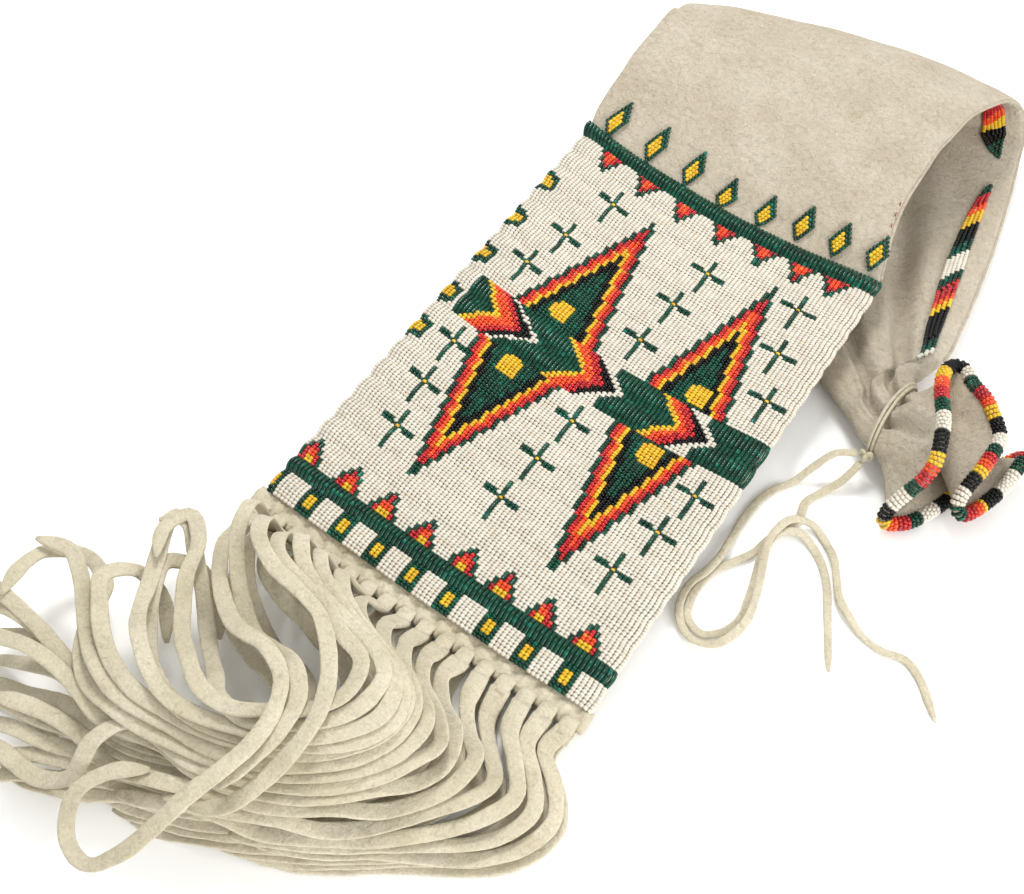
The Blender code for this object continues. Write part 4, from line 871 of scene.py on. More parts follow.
def fringe_thongs(hide):
    """Two tails from each thong: cut strips of hide as long as the photograph shows, piled on the table."""
    pile = Pile((-0.17, -0.2), (0.13, 0.0))
    radius = HEM_THICKNESS / 2 + LOOP_CLEARANCE + THONG_THICKNESS / 2
    centre_y = -GAP - HEM_LENGTH + HEM_BAR / 2 + 0.1 * MM
    low, high = HEM_HEIGHT - radius, HEM_HEIGHT + radius
    leave = -GAP - HEM_LENGTH - TAIL_LEAVES
    tails = {}
    for layer, height in ((0, low), (1, high)):
        for k in reversed(range(THONGS)):
            x = slot_centres()[k]
            hand = [np.array(p) * MM for p in THONG_ROUTES[k][layer]]
            head = [np.array((x, leave + hem_shift(x))), np.array((x, leave + hem_shift(x) - 4 * MM))]
            route = evenly_along([*head, *hand], THONG_SPACING)
            z = pile.lay(route, height, THONG_WIDTH, THONG_THICKNESS)
            path = evenly_along(np.column_stack([route, z]), TAIL_POINTS)
            if layer:
                # The upper tail leaves its knuckle straight, as stiff folded hide does
                rise = path[:STRAIGHT_POINTS, 2]
                rise += (np.linspace(rise[0], rise[-1], STRAIGHT_POINTS) - rise) * STRAIGHTENED
            tails[k, layer] = path
    across = np.array((1.0, 0, 0))
    for k, x in enumerate(slot_centres()):
        for layer, name in ((0, "under"), (1, "over")):
            path = tails[k, layer]
            fuller_for = (HEAD_LENGTH + 2 * MM * math.sin(5 * k)) * layer
            rings = soft_strip(path, TAIL_WIDTH, THONG_THICKNESS, across, k * 2 + layer, fuller_for)
            tail = lofted(f"thong_{k + 1:02d}_{name}_tail", rings, hide)
            settle(tail, "hide", f"thong_{k + 1:02d}")
            declare_cord(tail, path, THONG_WIDTH)
        loop = [tails[k, 0][1], tails[k, 0][0]]
        for step in range(13):
            angle = math.pi * (step / 12 - 0.5)
            y = centre_y + hem_shift(x) + radius * math.cos(angle)
            loop.append(np.array((x, y, HEM_HEIGHT + radius * math.sin(angle))))
        loop += [tails[k, 1][0], tails[k, 1][1]]
        turn = knuckle(np.array(loop), k)
        piece = lofted(f"thong_{k + 1:02d}_turn", turn, hide)
        settle(piece, "hide", f"thong_{k + 1:02d}")


def knuckle(path, seed):
    """The doubled thong's turn through the hem: a plump fingertip, creased where it bends over."""
    rings = []
    c, s = circle(18)
    side = np.array((1.0, 0, 0))
    for k, here in enumerate(path):
        out = unit(np.cross(side, heading(path, k)))
        share = k / (len(path) - 1)
        tip = math.exp(-((share - 0.5) / 0.16) ** 2)
        crease = math.exp(-((share - 0.78 - 0.04 * math.sin(3 * seed)) / 0.05) ** 2)
        half = (3.7 - 0.5 * tip - 0.3 * crease) * MM + 0.25 * MM * wander(seed + 200, share * 20 * MM, 6 * MM)
        rise = (1.6 - 0.25 * crease) * MM
        slide = 0.5 * MM * math.sin(seed * 2.1) * tip
        rings.append(here + np.outer(squared(c, 0.8) * half + slide, side)
                     + np.outer(squared(s, 0.85) * rise, out))
    return rings


def fringe_hem(hide):
    """The hem that the thongs run through: hide drawn into puckers round each knuckle, its edges rubbed uneven."""
    half = HEM_WIDTH / 2
    inner = -GAP + 1.5 * MM
    c, s = circle(30)
    rings = []
    for x in np.linspace(-half - 1.5 * MM, half, round(HEM_WIDTH / (0.7 * MM))):
        drawn = math.cos(2 * math.pi * x / THONG_PITCH)  # 1 at a knuckle, -1 halfway to the next
        outer = -GAP - HEM_LENGTH + (1.5 + 0.8 * drawn) * MM + 0.5 * MM * wander(500, x + half, 4 * MM)
        y = (outer + inner) / 2 + (inner - outer) / 2 * squared(c, 0.7)
        share = (inner - y) / (inner - outer)
        bump = np.array([noise.noise(Vector((x, place, 0)) / (2.6 * MM)) for place in y])
        pillow = 0.55 * (1 - drawn) * np.sin(np.pi * share)
        pleat = 0.3 * math.cos(4 * math.pi * x / THONG_PITCH + 1.3 * math.sin(90 * x)) * share
        socket = 0.9 * max(0.0, drawn) * np.exp(-(((share - 0.42) / 0.16) ** 2))
        top = (pillow + pleat - socket + 0.75 * bump) * MM * (s > 0)
        z = HEM_HEIGHT + HEM_THICKNESS / 2 * squared(s, 0.7) + top
        rings.append(np.column_stack([np.full(len(y), x), y + hem_shift(x), z]))
    settle(lofted("fringe_hem_hide", rings, hide), "hide", "fringe_hem")


def mouth_curve(count):
    """Points evenly round the middle line of the mouth's roll."""
    line = [np.array(p) * MM for p in MOUTH_LINE]
    closed = np.array(line[-2:] + line + line[:3])
    fine = np.array([curve_through(closed, f) for f in np.linspace(0, 1, 40 * len(closed))])
    past = np.linalg.norm(fine - line[0], axis=1)
    first = int(np.argmin(past[: len(fine) // 2]))
    last = len(fine) // 2 + int(np.argmin(past[len(fine) // 2 :]))
    once = fine[first : last + 1]
    length = travelled(once)
    return picked(np.linspace(0, length[-1], count, endpoint=False), length, once)


def mouth_sheet(tube, neck):
    """Rings of the flared mouth, outside then back down its inside, from the last ring of the neck."""
    fine = mouth_curve(1200)
    share = np.arange(SECTION_POINTS) / SECTION_POINTS
    mapped = np.where(share < 0.5, 1 - 2 * share * (1 - MOUTH_SPLIT), 2 * MOUTH_SPLIT * (1 - share))
    rim = fine[np.round(mapped * len(fine)).astype(int) % len(fine)]
    calm = tube.ring(tube.length, pleats=0)
    knee = calm + (rim - calm) * np.array(FLARE) + unit(np.array(NECK_AXIS)) * NECK_REACH
    knee[:, 2] += np.interp(mapped, FOLD, FOLD_RISE)
    toward = rim - knee
    edge = rim - toward / np.linalg.norm(toward, axis=1)[:, None] * RIM_RADIUS * 0.6
    outer = []
    start, end = MOUTH_CREASE
    for f in np.linspace(0, 1, 22):
        ring = (1 - f) ** 2 * (calm + (neck - calm) * (1 - f) ** 3) + 2 * f * (1 - f) * knee + f**2 * edge
        # The upper side bulges over a deep crease that runs from the tie to the near side of the rim
        past = mapped - start - (end - start) * f
        bulge = np.exp(-(((past + 0.035) / 0.03) ** 2)) - np.exp(-((past / 0.011) ** 2))
        ring[:, 2] += CREASE_DEPTH * math.sin(math.pi * f) ** 0.6 * bulge
        ring[:, 2] = np.maximum(ring[:, 2], 0)
        outer.append(ring)
    outer = np.array(outer)
    along = np.gradient(outer, axis=0)
    around = (np.roll(outer, -1, axis=1) - np.roll(outer, 1, axis=1)) / 2
    normal = np.cross(along, around)
    normal /= np.linalg.norm(normal, axis=2)[:, :, None]
    outward = np.sign(((outer[1] - outer[1].mean(axis=0)) * normal[1]).sum())
    inner = outer - outward * normal * HIDE
    return list(outer[1:]) + list(inner[:6:-1])


def bag_hide(tube, hide):
    """The whole bag: flat tube, fold, gathers and flared mouth, in one soft skin with shallow hollows."""
    beyond = round((tube.length - PANEL_LENGTH) / SECTION_SPACING)
    stops = np.concatenate([np.linspace(0, PANEL_LENGTH, 40)[:-1],
                            np.linspace(PANEL_LENGTH, tube.length, beyond)])
    rings = [tube.ring(v) for v in stops]
    rings += mouth_sheet(tube, rings[-1])
    bm = ring_grid(rings, closed=False)
    close_ends(bm)
    bmesh.ops.recalc_face_normals(bm, faces=bm.faces)
    bm.normal_update()
    shifts = []
    beadwork = PANEL_REACH + 2 * MM
    for vert in bm.verts:
        free = min(1, max(0, (vert.co.y - beadwork) / (20 * MM))) if vert.co.z > 12 * MM else 1
        hollow = 0.9 * noise.noise(vert.co / (38 * MM)) + 0.45 * noise.noise(vert.co / (15 * MM))
        under = vert.co.z < 0.3 * MM
        shifts.append(0 if under else hollow * free * MM * (0.45 if vert.co.x > 95 * MM else 1))
    for vert, shift in zip(bm.verts, shifts):
        vert.co += vert.normal * shift
        vert.co.z = max(vert.co.z, 0)
    settle(mesh_from(bm, "bag_hide", hide), "hide", "bag_body")


def seam_welt(tube, hide):
    """The sewn seam down the bag's right side: a thin welt that stands out between the two faces."""
    stops = np.linspace(PANEL_LENGTH + 4 * MM, tube.length - 30 * MM, 130)
    edge = tube.across(tube.row(stops), np.ones(len(stops)))[0]
    within = tube.across(tube.row(stops), np.full(len(stops), 0.9))[0]
    path = edge + np.array([unit(b - a) for a, b in zip(within, edge)]) * 0.3 * MM
    rings = []
    c, s = circle(8)
    out = tube.frame(stops, np.full(len(stops), 0.98))[1]
    for k, here in enumerate(path):
        side = unit(np.cross(heading(path, k), out[k]))
        radius = 1.0 * MM * (1 + 0.2 * wander(300, k * 3 * MM, 9 * MM))
        rings.append(here + radius * (np.outer(c, side) + 0.7 * np.outer(s, out[k])))
    settle(lofted("seam_welt", rings, hide), "hide")


def seed_bead(name, ends, shoulder):
    """One low bead to copy, of width and length 1: a barrel along Y, narrower past its shoulders."""
    bm = bmesh.new()
    bmesh.ops.create_circle(bm, segments=6, radius=0.5 * ends, cap_ends=True)
    bmesh.ops.rotate(bm, verts=bm.verts, matrix=Matrix.Rotation(math.radians(90), 3, "X"))
    bmesh.ops.translate(bm, verts=bm.verts, vec=(0, -0.5, 0))
    face = bm.faces[:]
    for y, share in ((-shoulder, 1), (shoulder, 1), (0.5, ends)):
        radius = 0.5 * share
        raised = bmesh.ops.extrude_face_region(bm, geom=face)["geom"]
        ring = [element for element in raised if isinstance(element, bmesh.types.BMVert)]
        for vert in ring:
            reach = Vector((vert.co.x, 0, vert.co.z)).normalized() * radius
            vert.co = Vector((reach.x, y, reach.z))
        face = [element for element in raised if isinstance(element, bmesh.types.BMFace)]
    caps = [f for f in bm.faces if len(f.verts) == 6]
    inside = [f for f in caps if abs(f.calc_center_median().y) < 0.48]
    bmesh.ops.delete(bm, geom=inside, context="FACES_ONLY")
    bmesh.ops.recalc_face_normals(bm, faces=bm.faces)
    data = bpy.data.meshes.new(name)
    bm.to_mesh(data)
    bm.free()
    data.shade_smooth()
    return placed(name, data)


def bead_scatter(bead):
    """Geometry nodes that set a bead on each point, by its own turn, size and tint."""
    tree = bpy.data.node_groups.new("bead_scatter", "GeometryNodeTree")
    tree.interface.new_socket("Geometry", in_out="INPUT", socket_type="NodeSocketGeometry")
    tree.interface.new_socket("Geometry", in_out="OUTPUT", socket_type="NodeSocketGeometry")
    points = add(tree, "NodeGroupInput").outputs[0]
    turn = add(tree, "GeometryNodeInputNamedAttribute", {"Name": "turn"}, data_type="FLOAT_VECTOR")
    size = add(tree, "GeometryNodeInputNamedAttribute", {"Name": "size"}, data_type="FLOAT_VECTOR")
    shape = add(tree, "GeometryNodeObjectInfo", {"Object": bead})
    set_on = add(tree, "GeometryNodeInstanceOnPoints", {
        "Points": points, "Instance": shape.outputs["Geometry"], "Rotation": turn.outputs[0],
        "Scale": size.outputs[0]})
    made_real = add(tree, "GeometryNodeRealizeInstances", {"Geometry": set_on.outputs[0]})
    add(tree, "NodeGroupOutput", {0: made_real.outputs[0]})
    return tree


class BeadBox:
    """Beads of all colours, gathered place by place, each a little off in its turn and size."""

    def __init__(self):
        self.beads = {}
        self.chance = np.random.default_rng(11)

    def put(self, tone, place, across, along, out, width, length, shape="round"):
        """One bead: its middle, the three ways it faces, its width and its length, in metres."""
        loose = self.chance.normal(0, 0.01 if shape == "rib" else 0.05, 3)
        along = unit(along + loose[0] * across + loose[1] * out)
        across = unit(across - along * (across @ along))
        out = np.cross(across, along)
        swell = 1 + self.chance.normal(0, 0.015 if shape == "rib" else 0.04)
        self.beads.setdefault((tone, shape), []).append(
            (place, Matrix((across, along, out)).transposed().to_euler(), width * swell,
             length * (1 + self.chance.normal(0, 0.02)), self.chance.random()))


def string_beads(name, found, tree, finish, slot, nodes):
    """Makes one piece of the beads found: a point for each, and the bead's shape set on every point."""
    data = bpy.data.meshes.new(name + "_points")
    data.vertices.add(len(found))
    data.vertices.foreach_set("co", np.array([f[0] + ORIGIN for f in found], np.float32).ravel())
    turn = data.attributes.new("turn", "FLOAT_VECTOR", "POINT")
    turn.data.foreach_set("vector", np.array([tuple(f[1]) for f in found], np.float32).ravel())
    size = data.attributes.new("size", "FLOAT_VECTOR", "POINT")
    sizes = [(width, length, BEAD_HEIGHT * width) for _, _, width, length, _ in found]
    size.data.foreach_set("vector", np.array(sizes, np.float32).ravel())
    tint = data.attributes.new("tint", "FLOAT", "POINT")
    tint.data.foreach_set("value", np.array([f[4] for f in found], np.float32))
    points = placed(name + "_points", data)
    scatter = points.modifiers.new("scatter", "NODES")
    scatter.node_group = tree
    evaluated = points.evaluated_get(bpy.context.evaluated_depsgraph_get())
    strung = bpy.data.meshes.new_from_object(evaluated)
    bpy.data.objects.remove(points)
    strung.materials.clear()
    strung.materials.append(finish)
    settle(placed(name, strung), slot, *nodes)


def beyond_notch(lane, edge, point):
    """Column of a pointed end in the feathers' two lanes: edge at the outer sides, point in the middle."""
    return edge + (point - edge) * max(0.0, 1 - abs(lane - LANES / 2))


def feather_tone(column, lane):
    """Three feathers across the middle, each a green quill, a chevron of warm tones and a black tip."""
    ends = ((4.8, 7, 13.1, 14.6, 25.0), (None, 31, 38, 39.5, 47.8), (45.0, 55.5, 62, 63.0, 71.0))
    before = -9.0
    for start, edge, notch, shoulder, tip in ends:
        quill_end = beyond_notch(lane, edge, notch)
        head_end = beyond_notch(lane, shoulder, tip)
        left = max(start or 0, before + 1.6)
        if left <= column < quill_end:
            return "green_rib"
        if quill_end <= column < head_end:
            ahead = head_end - column
            depth = 0.9 + 2.9 * max(0.0, 1 - abs(lane - LANES / 2))
            if ahead < depth:
                return "black"
            if column - quill_end < 1.8:
                return "yellow"
            return "red" if ahead < depth + 2.2 else "orange"
        if before > 0 and before <= column < before + 1.6:
            return "white"
        before = head_end
    if column >= max(68.5, before + 1.6):
        return "green_rib"
    return None


def figure_tone(column, lane, base, tip, peak, window):
    """Half of a tall pointed figure: stepped border of green, red, orange and yellow, black, then green."""
    left, right, foot = base
    share = (lane - foot) / (peak - foot)
    if not 0 <= share <= 1:
        return None
    inside = min(column - (left + (tip - left) * share), (right + (tip - right) * share) - column)
    if inside < 0:
        return None
    middle, height = window
    aside, above = abs(column - middle), abs(lane - height)
    if aside < 2.5 and above < 0.45 and aside + 3 * above < 3.1:
        return "yellow"
    for reach, tone in ((0.95, "green"), (2.0, "red"), (3.0, "orange"), (4.0, "yellow"), (5.5, "black")):
        if inside < reach:
            return tone
    return "green"


def tooth_tone(column, rise, foot, warm):
    """A small stepped triangle: rise runs from 0 at its foot to 1 at its tip."""
    reach = 3.5 * (1 - rise) + 0.35
    aside = abs(column - foot)
    if aside > reach:
        return None
    if aside > reach - 0.95 or rise > 0.85:
        return "green_rib"
    if aside < 1.1 and rise < 0.5:
        return "yellow" if rise < 0.2 and warm else "orange"
    return "red"


def cross_tone(column, row, middle, centre):
    """A slender star: one bead at its heart, long arms up and down, short ones that slope to the right."""
    aside = round(column - middle)
    above = row - centre
    if aside == 0:
        if above == 0:
            return "yellow"
        return "green_rib" if -9 < above < 6 else None
    if abs(aside) > 4:
        return None
    drooped = 1 if aside < 0 else -1
    return "green" if above == 0 or (above == drooped and abs(aside) > 1) else None


# Middles of the motifs, in columns from the left and, for crosses and side blocks, lanes from the foot
CROSSES = (
    (18.7, 16.1), (14.8, 13.6), (11.1, 11.6), (10.3, 7.1), (11.1, 5.1), (13.4, 3.1),
    (47.1, 15.6), (45.5, 13.5), (44.7, 11.4), (43.4, 7.0), (42.3, 5.1), (41.4, 3.1),
    (69.4, 15.9), (71.9, 13.7), (75.5, 11.5), (74.6, 6.8), (72.4, 4.9), (69.2, 2.9),
)
SIDE_BLOCKS = (15.1, 12.9, 10.8, 8.6, 6.7)
BLOCKS = (0.4, 10.1, 19, 27.8, 36.9, 46.3, 56.1, 65.3, 74.4)
UPPER_TEETH = (10.3, 21.9, 33.3, 44.4, 55, 64.5, 72.9)
LOWER_TEETH = (2.8, 13.7, 23.5, 33.6, 44.2, 53.5, 63.4, 73.4)
# Each half of a tall figure: its left, right and foot, its tip's column and lane, its window's middle
FIGURES = (
    ((15, 38, 10.05), 29.9, 16.6, (25.9, 10.64)), ((13.3, 37, 7.95), 22.8, 1.6, (24.5, 7.54)),
    ((50.8, 70.8, 10.05), 62.4, 16.6, (62.7, 10.57)), ((50.6, 70.8, 7.95), 58.9, 1.4, (61.6, 7.42)),
)


def panel_tone(column, k, j, count):
    """Tone of the bead at a column, in lane k of the panel and place j of that lane's count."""
    f = (j + 0.5) / count
    if k == 0:
        for block in BLOCKS:
            if abs(column - block) < 2.05:
                return "yellow" if abs(column - block) < 1.05 and 0.2 < f < 0.75 else "green"
        return "white"
    if count == BEADS_PER_BAND:
        return "green_rib"
    lane = k - 2 + f
    row = (k - 2) * BEADS_PER_LANE + j
    tones = []
    if lane < 1:
        tones += [tooth_tone(column, f, foot, True) for foot in LOWER_TEETH]
    if lane > LANES - 1:
        tones += [tooth_tone(column, 1 - f, foot, False) for foot in UPPER_TEETH]
    if abs(lane - LANES / 2) < 1:
        tones.append(feather_tone(column, lane))
    tones += [figure_tone(column, lane, *figure) for figure in FIGURES]
    tones += [cross_tone(column, row, middle, round(height * BEADS_PER_LANE - 0.5))
              for middle, height in CROSSES]
    for tone in tones:
        if tone:
            return tone
    for height in SIDE_BLOCKS:
        tall = abs(lane - height) + 0.045 * column
        if column < 4.3 and tall < 0.56:
            return "yellow" if column < 2.6 and tall < 0.3 else "green"
    return "white"


def panel_surface(tube, u, v, height):
    """Points over the panel and the way out of it: u across, v up the beadwork, height above the hide."""
    side = np.minimum(np.abs(2 * u / PANEL_WIDTH), 1)
    middle, lean, sag = TOP_EDGE
    up = v / LANE_EDGES[-1] * (middle + lean * (2 * u / PANEL_WIDTH) + sag * side**2)
    here, out = tube.frame(up, u / (BAG_WIDTH / 2))
    skin = tube.row(up)[..., 9] * (1 - EDGE_DROOP * side**8)
    return here + out * (skin + GAP + height)[:, None], out


def panel_beads(tube, box):
    """Lane stitch: eight beads to a string, each string sewn down at both ends so that the lane arches."""
    columns = np.arange(COLUMNS) + 0.5
    u = columns * COLUMN_WIDTH - PANEL_WIDTH / 2
    drift = [sum(COLUMN_DRIFT * math.sin(0.23 * c + 1.7 * k) for k in (1, 2)) for c in range(COLUMNS)]
    side = np.abs(2 * u / PANEL_WIDTH)
    rolled = EDGE_ROLL * np.clip((side - 0.92) / 0.08, 0, 1) ** 2
    for k, (low, high) in enumerate(zip(LANE_EDGES, LANE_EDGES[1:])):
        band = high - low < 0.8 * LANE
        count = BEADS_PER_BAND if band else BEADS_PER_LANE
        rise = LANE_RISE * (1.4 if band else 1)
        if high == LANE_EDGES[-1]:
            high += TOP_BAND_OVER
        last = []
        for j in range(count + 1):
            f = j / count
            bow = math.sin(math.pi * min(max(f, 0.03), 0.97)) ** 0.7
            spread = u * (1 + 0.014 * (bow - 0.5) * side**6)
            height = BEAD_STAND + rise * bow - rolled
            last.append(panel_surface(tube, spread, np.full(COLUMNS, low + f * (high - low)), height))
        for j in range(count):
            (start, out), (end, _) = last[j], last[j + 1]
            place = (start + end) / 2
            along = end - start
            across = np.gradient(place, axis=0)
            for c in range(COLUMNS):
                tone = panel_tone(columns[c], k, j, count)
                shape = "rib" if tone == "green_rib" else "round"
                tone = "green" if shape == "rib" else tone
                length = np.linalg.norm(along[c])
                wider, longer = BEAD_FILL[shape]
                wide = min(np.linalg.norm(across[c]), COLUMN_WIDTH) * wider
                slip = unit(along[c]) * drift[c]
                box.put(tone, place[c] + slip, unit(across[c]), along[c] / length, out[c], wide,
                        length * longer, shape)


# Middles of the leaves, in millimetres across from the bag's middle and up from the hem
LEAF_PLACES = (
    (-69.5, 273.5), (-45.2, 270.7), (-22.3, 267.6), (-1.9, 262.8),
    (19.9, 263.8), (40.2, 267.9), (59.9, 269.2), (79.6, 272.4),
)
LEAF_ALONG = np.array((8.6, 13.6))  # along the strings, from the leaf's left corner to its upper one
LEAF_OVER = np.array((2.8, -10.4))  # across the strings, from the left corner to the lower one
LEAF_STRINGS = 5
LEAF_BEADS = 7
LEAF_FILL = 1.12  # a bead's width, as a share of the space between strings


def leaf_beads(tube, box):
    """Small leaves on the bare hide above the panel, each of five slanted strings: green round yellow."""
    step_over = LEAF_OVER / LEAF_STRINGS
    step_along = LEAF_ALONG / LEAF_BEADS
    for middle in LEAF_PLACES:
        corner = np.array(middle) - (LEAF_ALONG + LEAF_OVER) / 2
        for i in range(LEAF_STRINGS):
            for j in range(LEAF_BEADS):
                spot = corner + step_over * (i + 0.5) + step_along * (j + 0.5)
                spots = np.array((spot, spot + step_over, spot + step_along)) * MM
                here, outs = tube.frame(spots[:, 1], spots[:, 0] / (BAG_WIDTH / 2))
                places = here + outs * (tube.row(spots[:, 1])[..., 9] + GAP + 0.5 * MM)[:, None]
                along = places[2] - places[0]
                length = np.linalg.norm(along)
                along = along / length
                over = places[1] - places[0]
                over = over - along * (over @ along)
                heart = 0 < i < LEAF_STRINGS - 1 and 0 < j < LEAF_BEADS - 2
                box.put("yellow" if heart else "green", places[0], unit(over), along, outs[0],
                        np.linalg.norm(over) * LEAF_FILL, length)


# Where each band of the seam's edging ends, in millimetres up the bag from the hem
EDGING_BANDS = (
    (279, "green"), (295, "white"), (303, "green"), (315, "red"), (321, "orange"), (328, "yellow"),
    (348, "black"), (356, "green"), (372, "white"), (380, "green"), (392, "red"), (398, "orange"),
    (405, "yellow"), (424, "black"), (435, "red"), (442, "orange"), (450, "yellow"), (464, "black"),
    (476, "green"), (500, "white"), (514, "green"), (524, "red"), (530, "orange"), (540, "yellow"),
    (556, "black"), (565, "green"), (582, "white"), (592, "green"), (602, "red"), (607, "orange"),
    (613, "yellow"), (637, "black"), (645, "green"), (700, "white"),
)
# Share of its width that the edging shows at each of these millimetres: the hide's roll covers some of it
EDGING_SHOWN = ((420, 1), (431, 1.2), (452, 1.25), (466, 0.7), (478, 0), (500, 0), (508, 0.4), (519, 0.65),
                (530, 0.75), (550, 0.85), (590, 1), (640, 0.95), (657, 0.6))


def edging_beads(tube, box):
    """Slanted strings of beads sewn over the right seam, on the face that looks up beyond the fold."""
    stops = PANEL_LENGTH + np.arange(EDGING_STARTS, tube.length - PANEL_LENGTH - EDGING_STOPS, EDGING_PITCH)
    for v in stops:
        tone = next(name for end, name in EDGING_BANDS if v < end * MM)
        row = tube.row(v)
        half = np.linalg.norm(row[6:9] - row[0:3]) / 2
        narrowing = min(1, half / (BAG_WIDTH / 2) + 0.3)
        outer = 1 - EDGING_MARGIN * narrowing / half
        wide = EDGING_WIDTH * narrowing * np.interp(v / MM, *zip(*EDGING_SHOWN))
        inner = outer - wide / half
        count = round(wide / EDGING_BEAD)
        if not count:
            continue
        f = np.arange(count + 1) / count
        xs = outer + (inner - outer) * f
        slant = v + (f - 0.5) * wide * 1.4
        rise = 0.5 * MM + 0.7 * MM * np.sin(np.pi * np.clip(f, 0.03, 0.97)) ** 0.7
        row_points = np.array([tube.skin(a, x, h) for a, x, h in zip(slant, xs, rise)])
        outs = -tube.frame(slant, xs)[1]
        ahead = np.array([tube.skin(a + 1 * MM, x, h) for a, x, h in zip(slant, xs, rise)]) - row_points
        for j in range(count):
            along = row_points[j + 1] - row_points[j]
            length = np.linalg.norm(along)
            box.put(tone, (row_points[j] + row_points[j + 1]) / 2, unit(ahead[j]), along / length, outs[j],
                    EDGING_PITCH, min(length * 0.95, 1.1 * EDGING_BEAD))


# Rows of beads round the mouth's roll, and the row at which each band of colour ends
RIM_ROWS = 160
RIM_BANDS = (
    (5, "black"), (9, "yellow"), (13, "orange"), (17, "red"), (21, "green"), (26, "white"), (31, "black"),
    (34, "yellow"), (36, "orange"), (39, "red"), (42, "green"), (47, "white"), (50, "black"), (52, "yellow"),
    (54, "orange"), (57, "red"), (60, "green"), (65, "white"), (69, "black"), (71, "yellow"), (73, "orange"),
    (76, "red"), (79, "green"), (83, "white"), (87, "black"), (88, "yellow"), (90, "orange"), (94, "red"),
    (98, "green"), (105, "white"), (110, "black"), (111, "yellow"), (113, "orange"), (116, "red"),
    (119, "green"), (123, "white"), (127, "black"), (129, "yellow"), (131, "orange"), (133, "red"),
    (136, "green"), (140, "white"), (144, "black"), (147, "yellow"), (149, "orange"), (152, "red"),
    (155, "green"), (158, "white"), (160, "black"),
)


def rim_frame(places):
    """For each place on the mouth's line: the way along it, and two ways square to it that don't turn."""
    frames = []
    side = np.array((0.0, 0.0, 1.0))
    for k in range(len(places)):
        along = unit(places[(k + 1) % len(places)] - places[k - 1])
        side = unit(side - along * (side @ along))
        frames.append((along, side, np.cross(along, side)))
    return frames


def mouth_rim(hide, box):
    """The beaded roll: strings of beads wound round the mouth's rolled edge, in bands of colour."""
    places = mouth_curve(RIM_ROWS)
    width, length = RIM_BEAD
    for k, (along, side, up) in enumerate(rim_frame(places)):
        tone = next(name for end, name in RIM_BANDS if k < end)
        gap = np.linalg.norm(places[(k + 1) % len(places)] - places[k - 1]) / 2
        for n in range(RIM_STRINGS):
            angle = 2 * math.pi * (n + 0.5 * (k % 2)) / RIM_STRINGS
            out = side * math.cos(angle) + up * math.sin(angle)
            round_it = up * math.cos(angle) - side * math.sin(angle)
            box.put(tone, places[k] + out * (RIM_RADIUS - 1.0 * MM), along, round_it, -out,
                    min(gap, width), length)
    core = mouth_curve(180)
    c, s = circle(10)
    rings = [place + (RIM_RADIUS - 1.35 * MM) * (np.outer(c, side) + np.outer(s, up))
             for place, (_, side, up) in zip(core, rim_frame(core))]
    last, first = rings[-1], rings[0]
    turn = min(range(10), key=lambda n: np.linalg.norm(np.roll(last, n, axis=0) - first))
    rings = rings[:-1] + [np.roll(last, turn, axis=0)]
    settle(looped("mouth_rim_core", rings, hide), "hide", "mouth_rim")


def neck_tie(tube, hide):
    """The thong's two turns round the gathered neck, sunk into it, and the knot on the near side."""
    middle = tube.length - TIE_WIDTH
    c, s = circle(10)
    for n, shift in enumerate((-0.26, 0.26)):
        v = middle + shift * TIE_WIDTH * 1.25
        inner = tube.ring(v, 0.2 * MM, 0, 72)
        outer = tube.ring(v, 1.2 * MM, 0, 72)
        ahead = unit(tube.across(tube.row(v + 1 * MM), 0.0)[0] - tube.across(tube.row(v - 1 * MM), 0.0)[0])
        rings = []
        for a, b in zip(inner, outer):
            out = unit(b - a)
            rings.append(a + out * 0.45 * MM + np.outer(c * 0.95 * MM, ahead) + np.outer(s * 0.75 * MM, out))
        settle(looped(f"neck_tie_turn_{n + 1}", rings, hide), "hide", "neck_tie")
    rings = [tube.ring(middle + d * TIE_WIDTH / 2, 2 * GAP + TIE_THICKNESS, 0, 40) for d in (-1, 1)]
    outward = unit(rings[0][20] - rings[0][0])
    face = (rings[0][20] + rings[1][20]) / 2
    place = face + outward * (KNOT_RADIUS - TIE_THICKNESS * 0.6)
    path = []
    for t in np.linspace(0.1, 2 * math.pi - 0.1, 60):
        # A tight overhand knot: three lobes of one strip passing over and under
        lobes = (math.sin(t) + 0.9 * math.sin(2 * t), math.cos(t) - 0.9 * math.cos(2 * t),
                 -1.1 * math.sin(3 * t))
        path.append(place + 1.45 * MM * np.array(lobes))
    c, s = circle(12)
    rings = []
    side = np.array((0.0, 0.0, 1.0))
    for k, here in enumerate(path):
        ahead = heading(path, k)
        side = unit(side - ahead * (side @ ahead))
        up = np.cross(ahead, side)
        rings.append(here + np.outer(c * 1.15 * MM, side) + np.outer(s * 0.95 * MM, up))
    settle(lofted("tie_knot", rings, hide), "hide", "neck_tie")
    return place


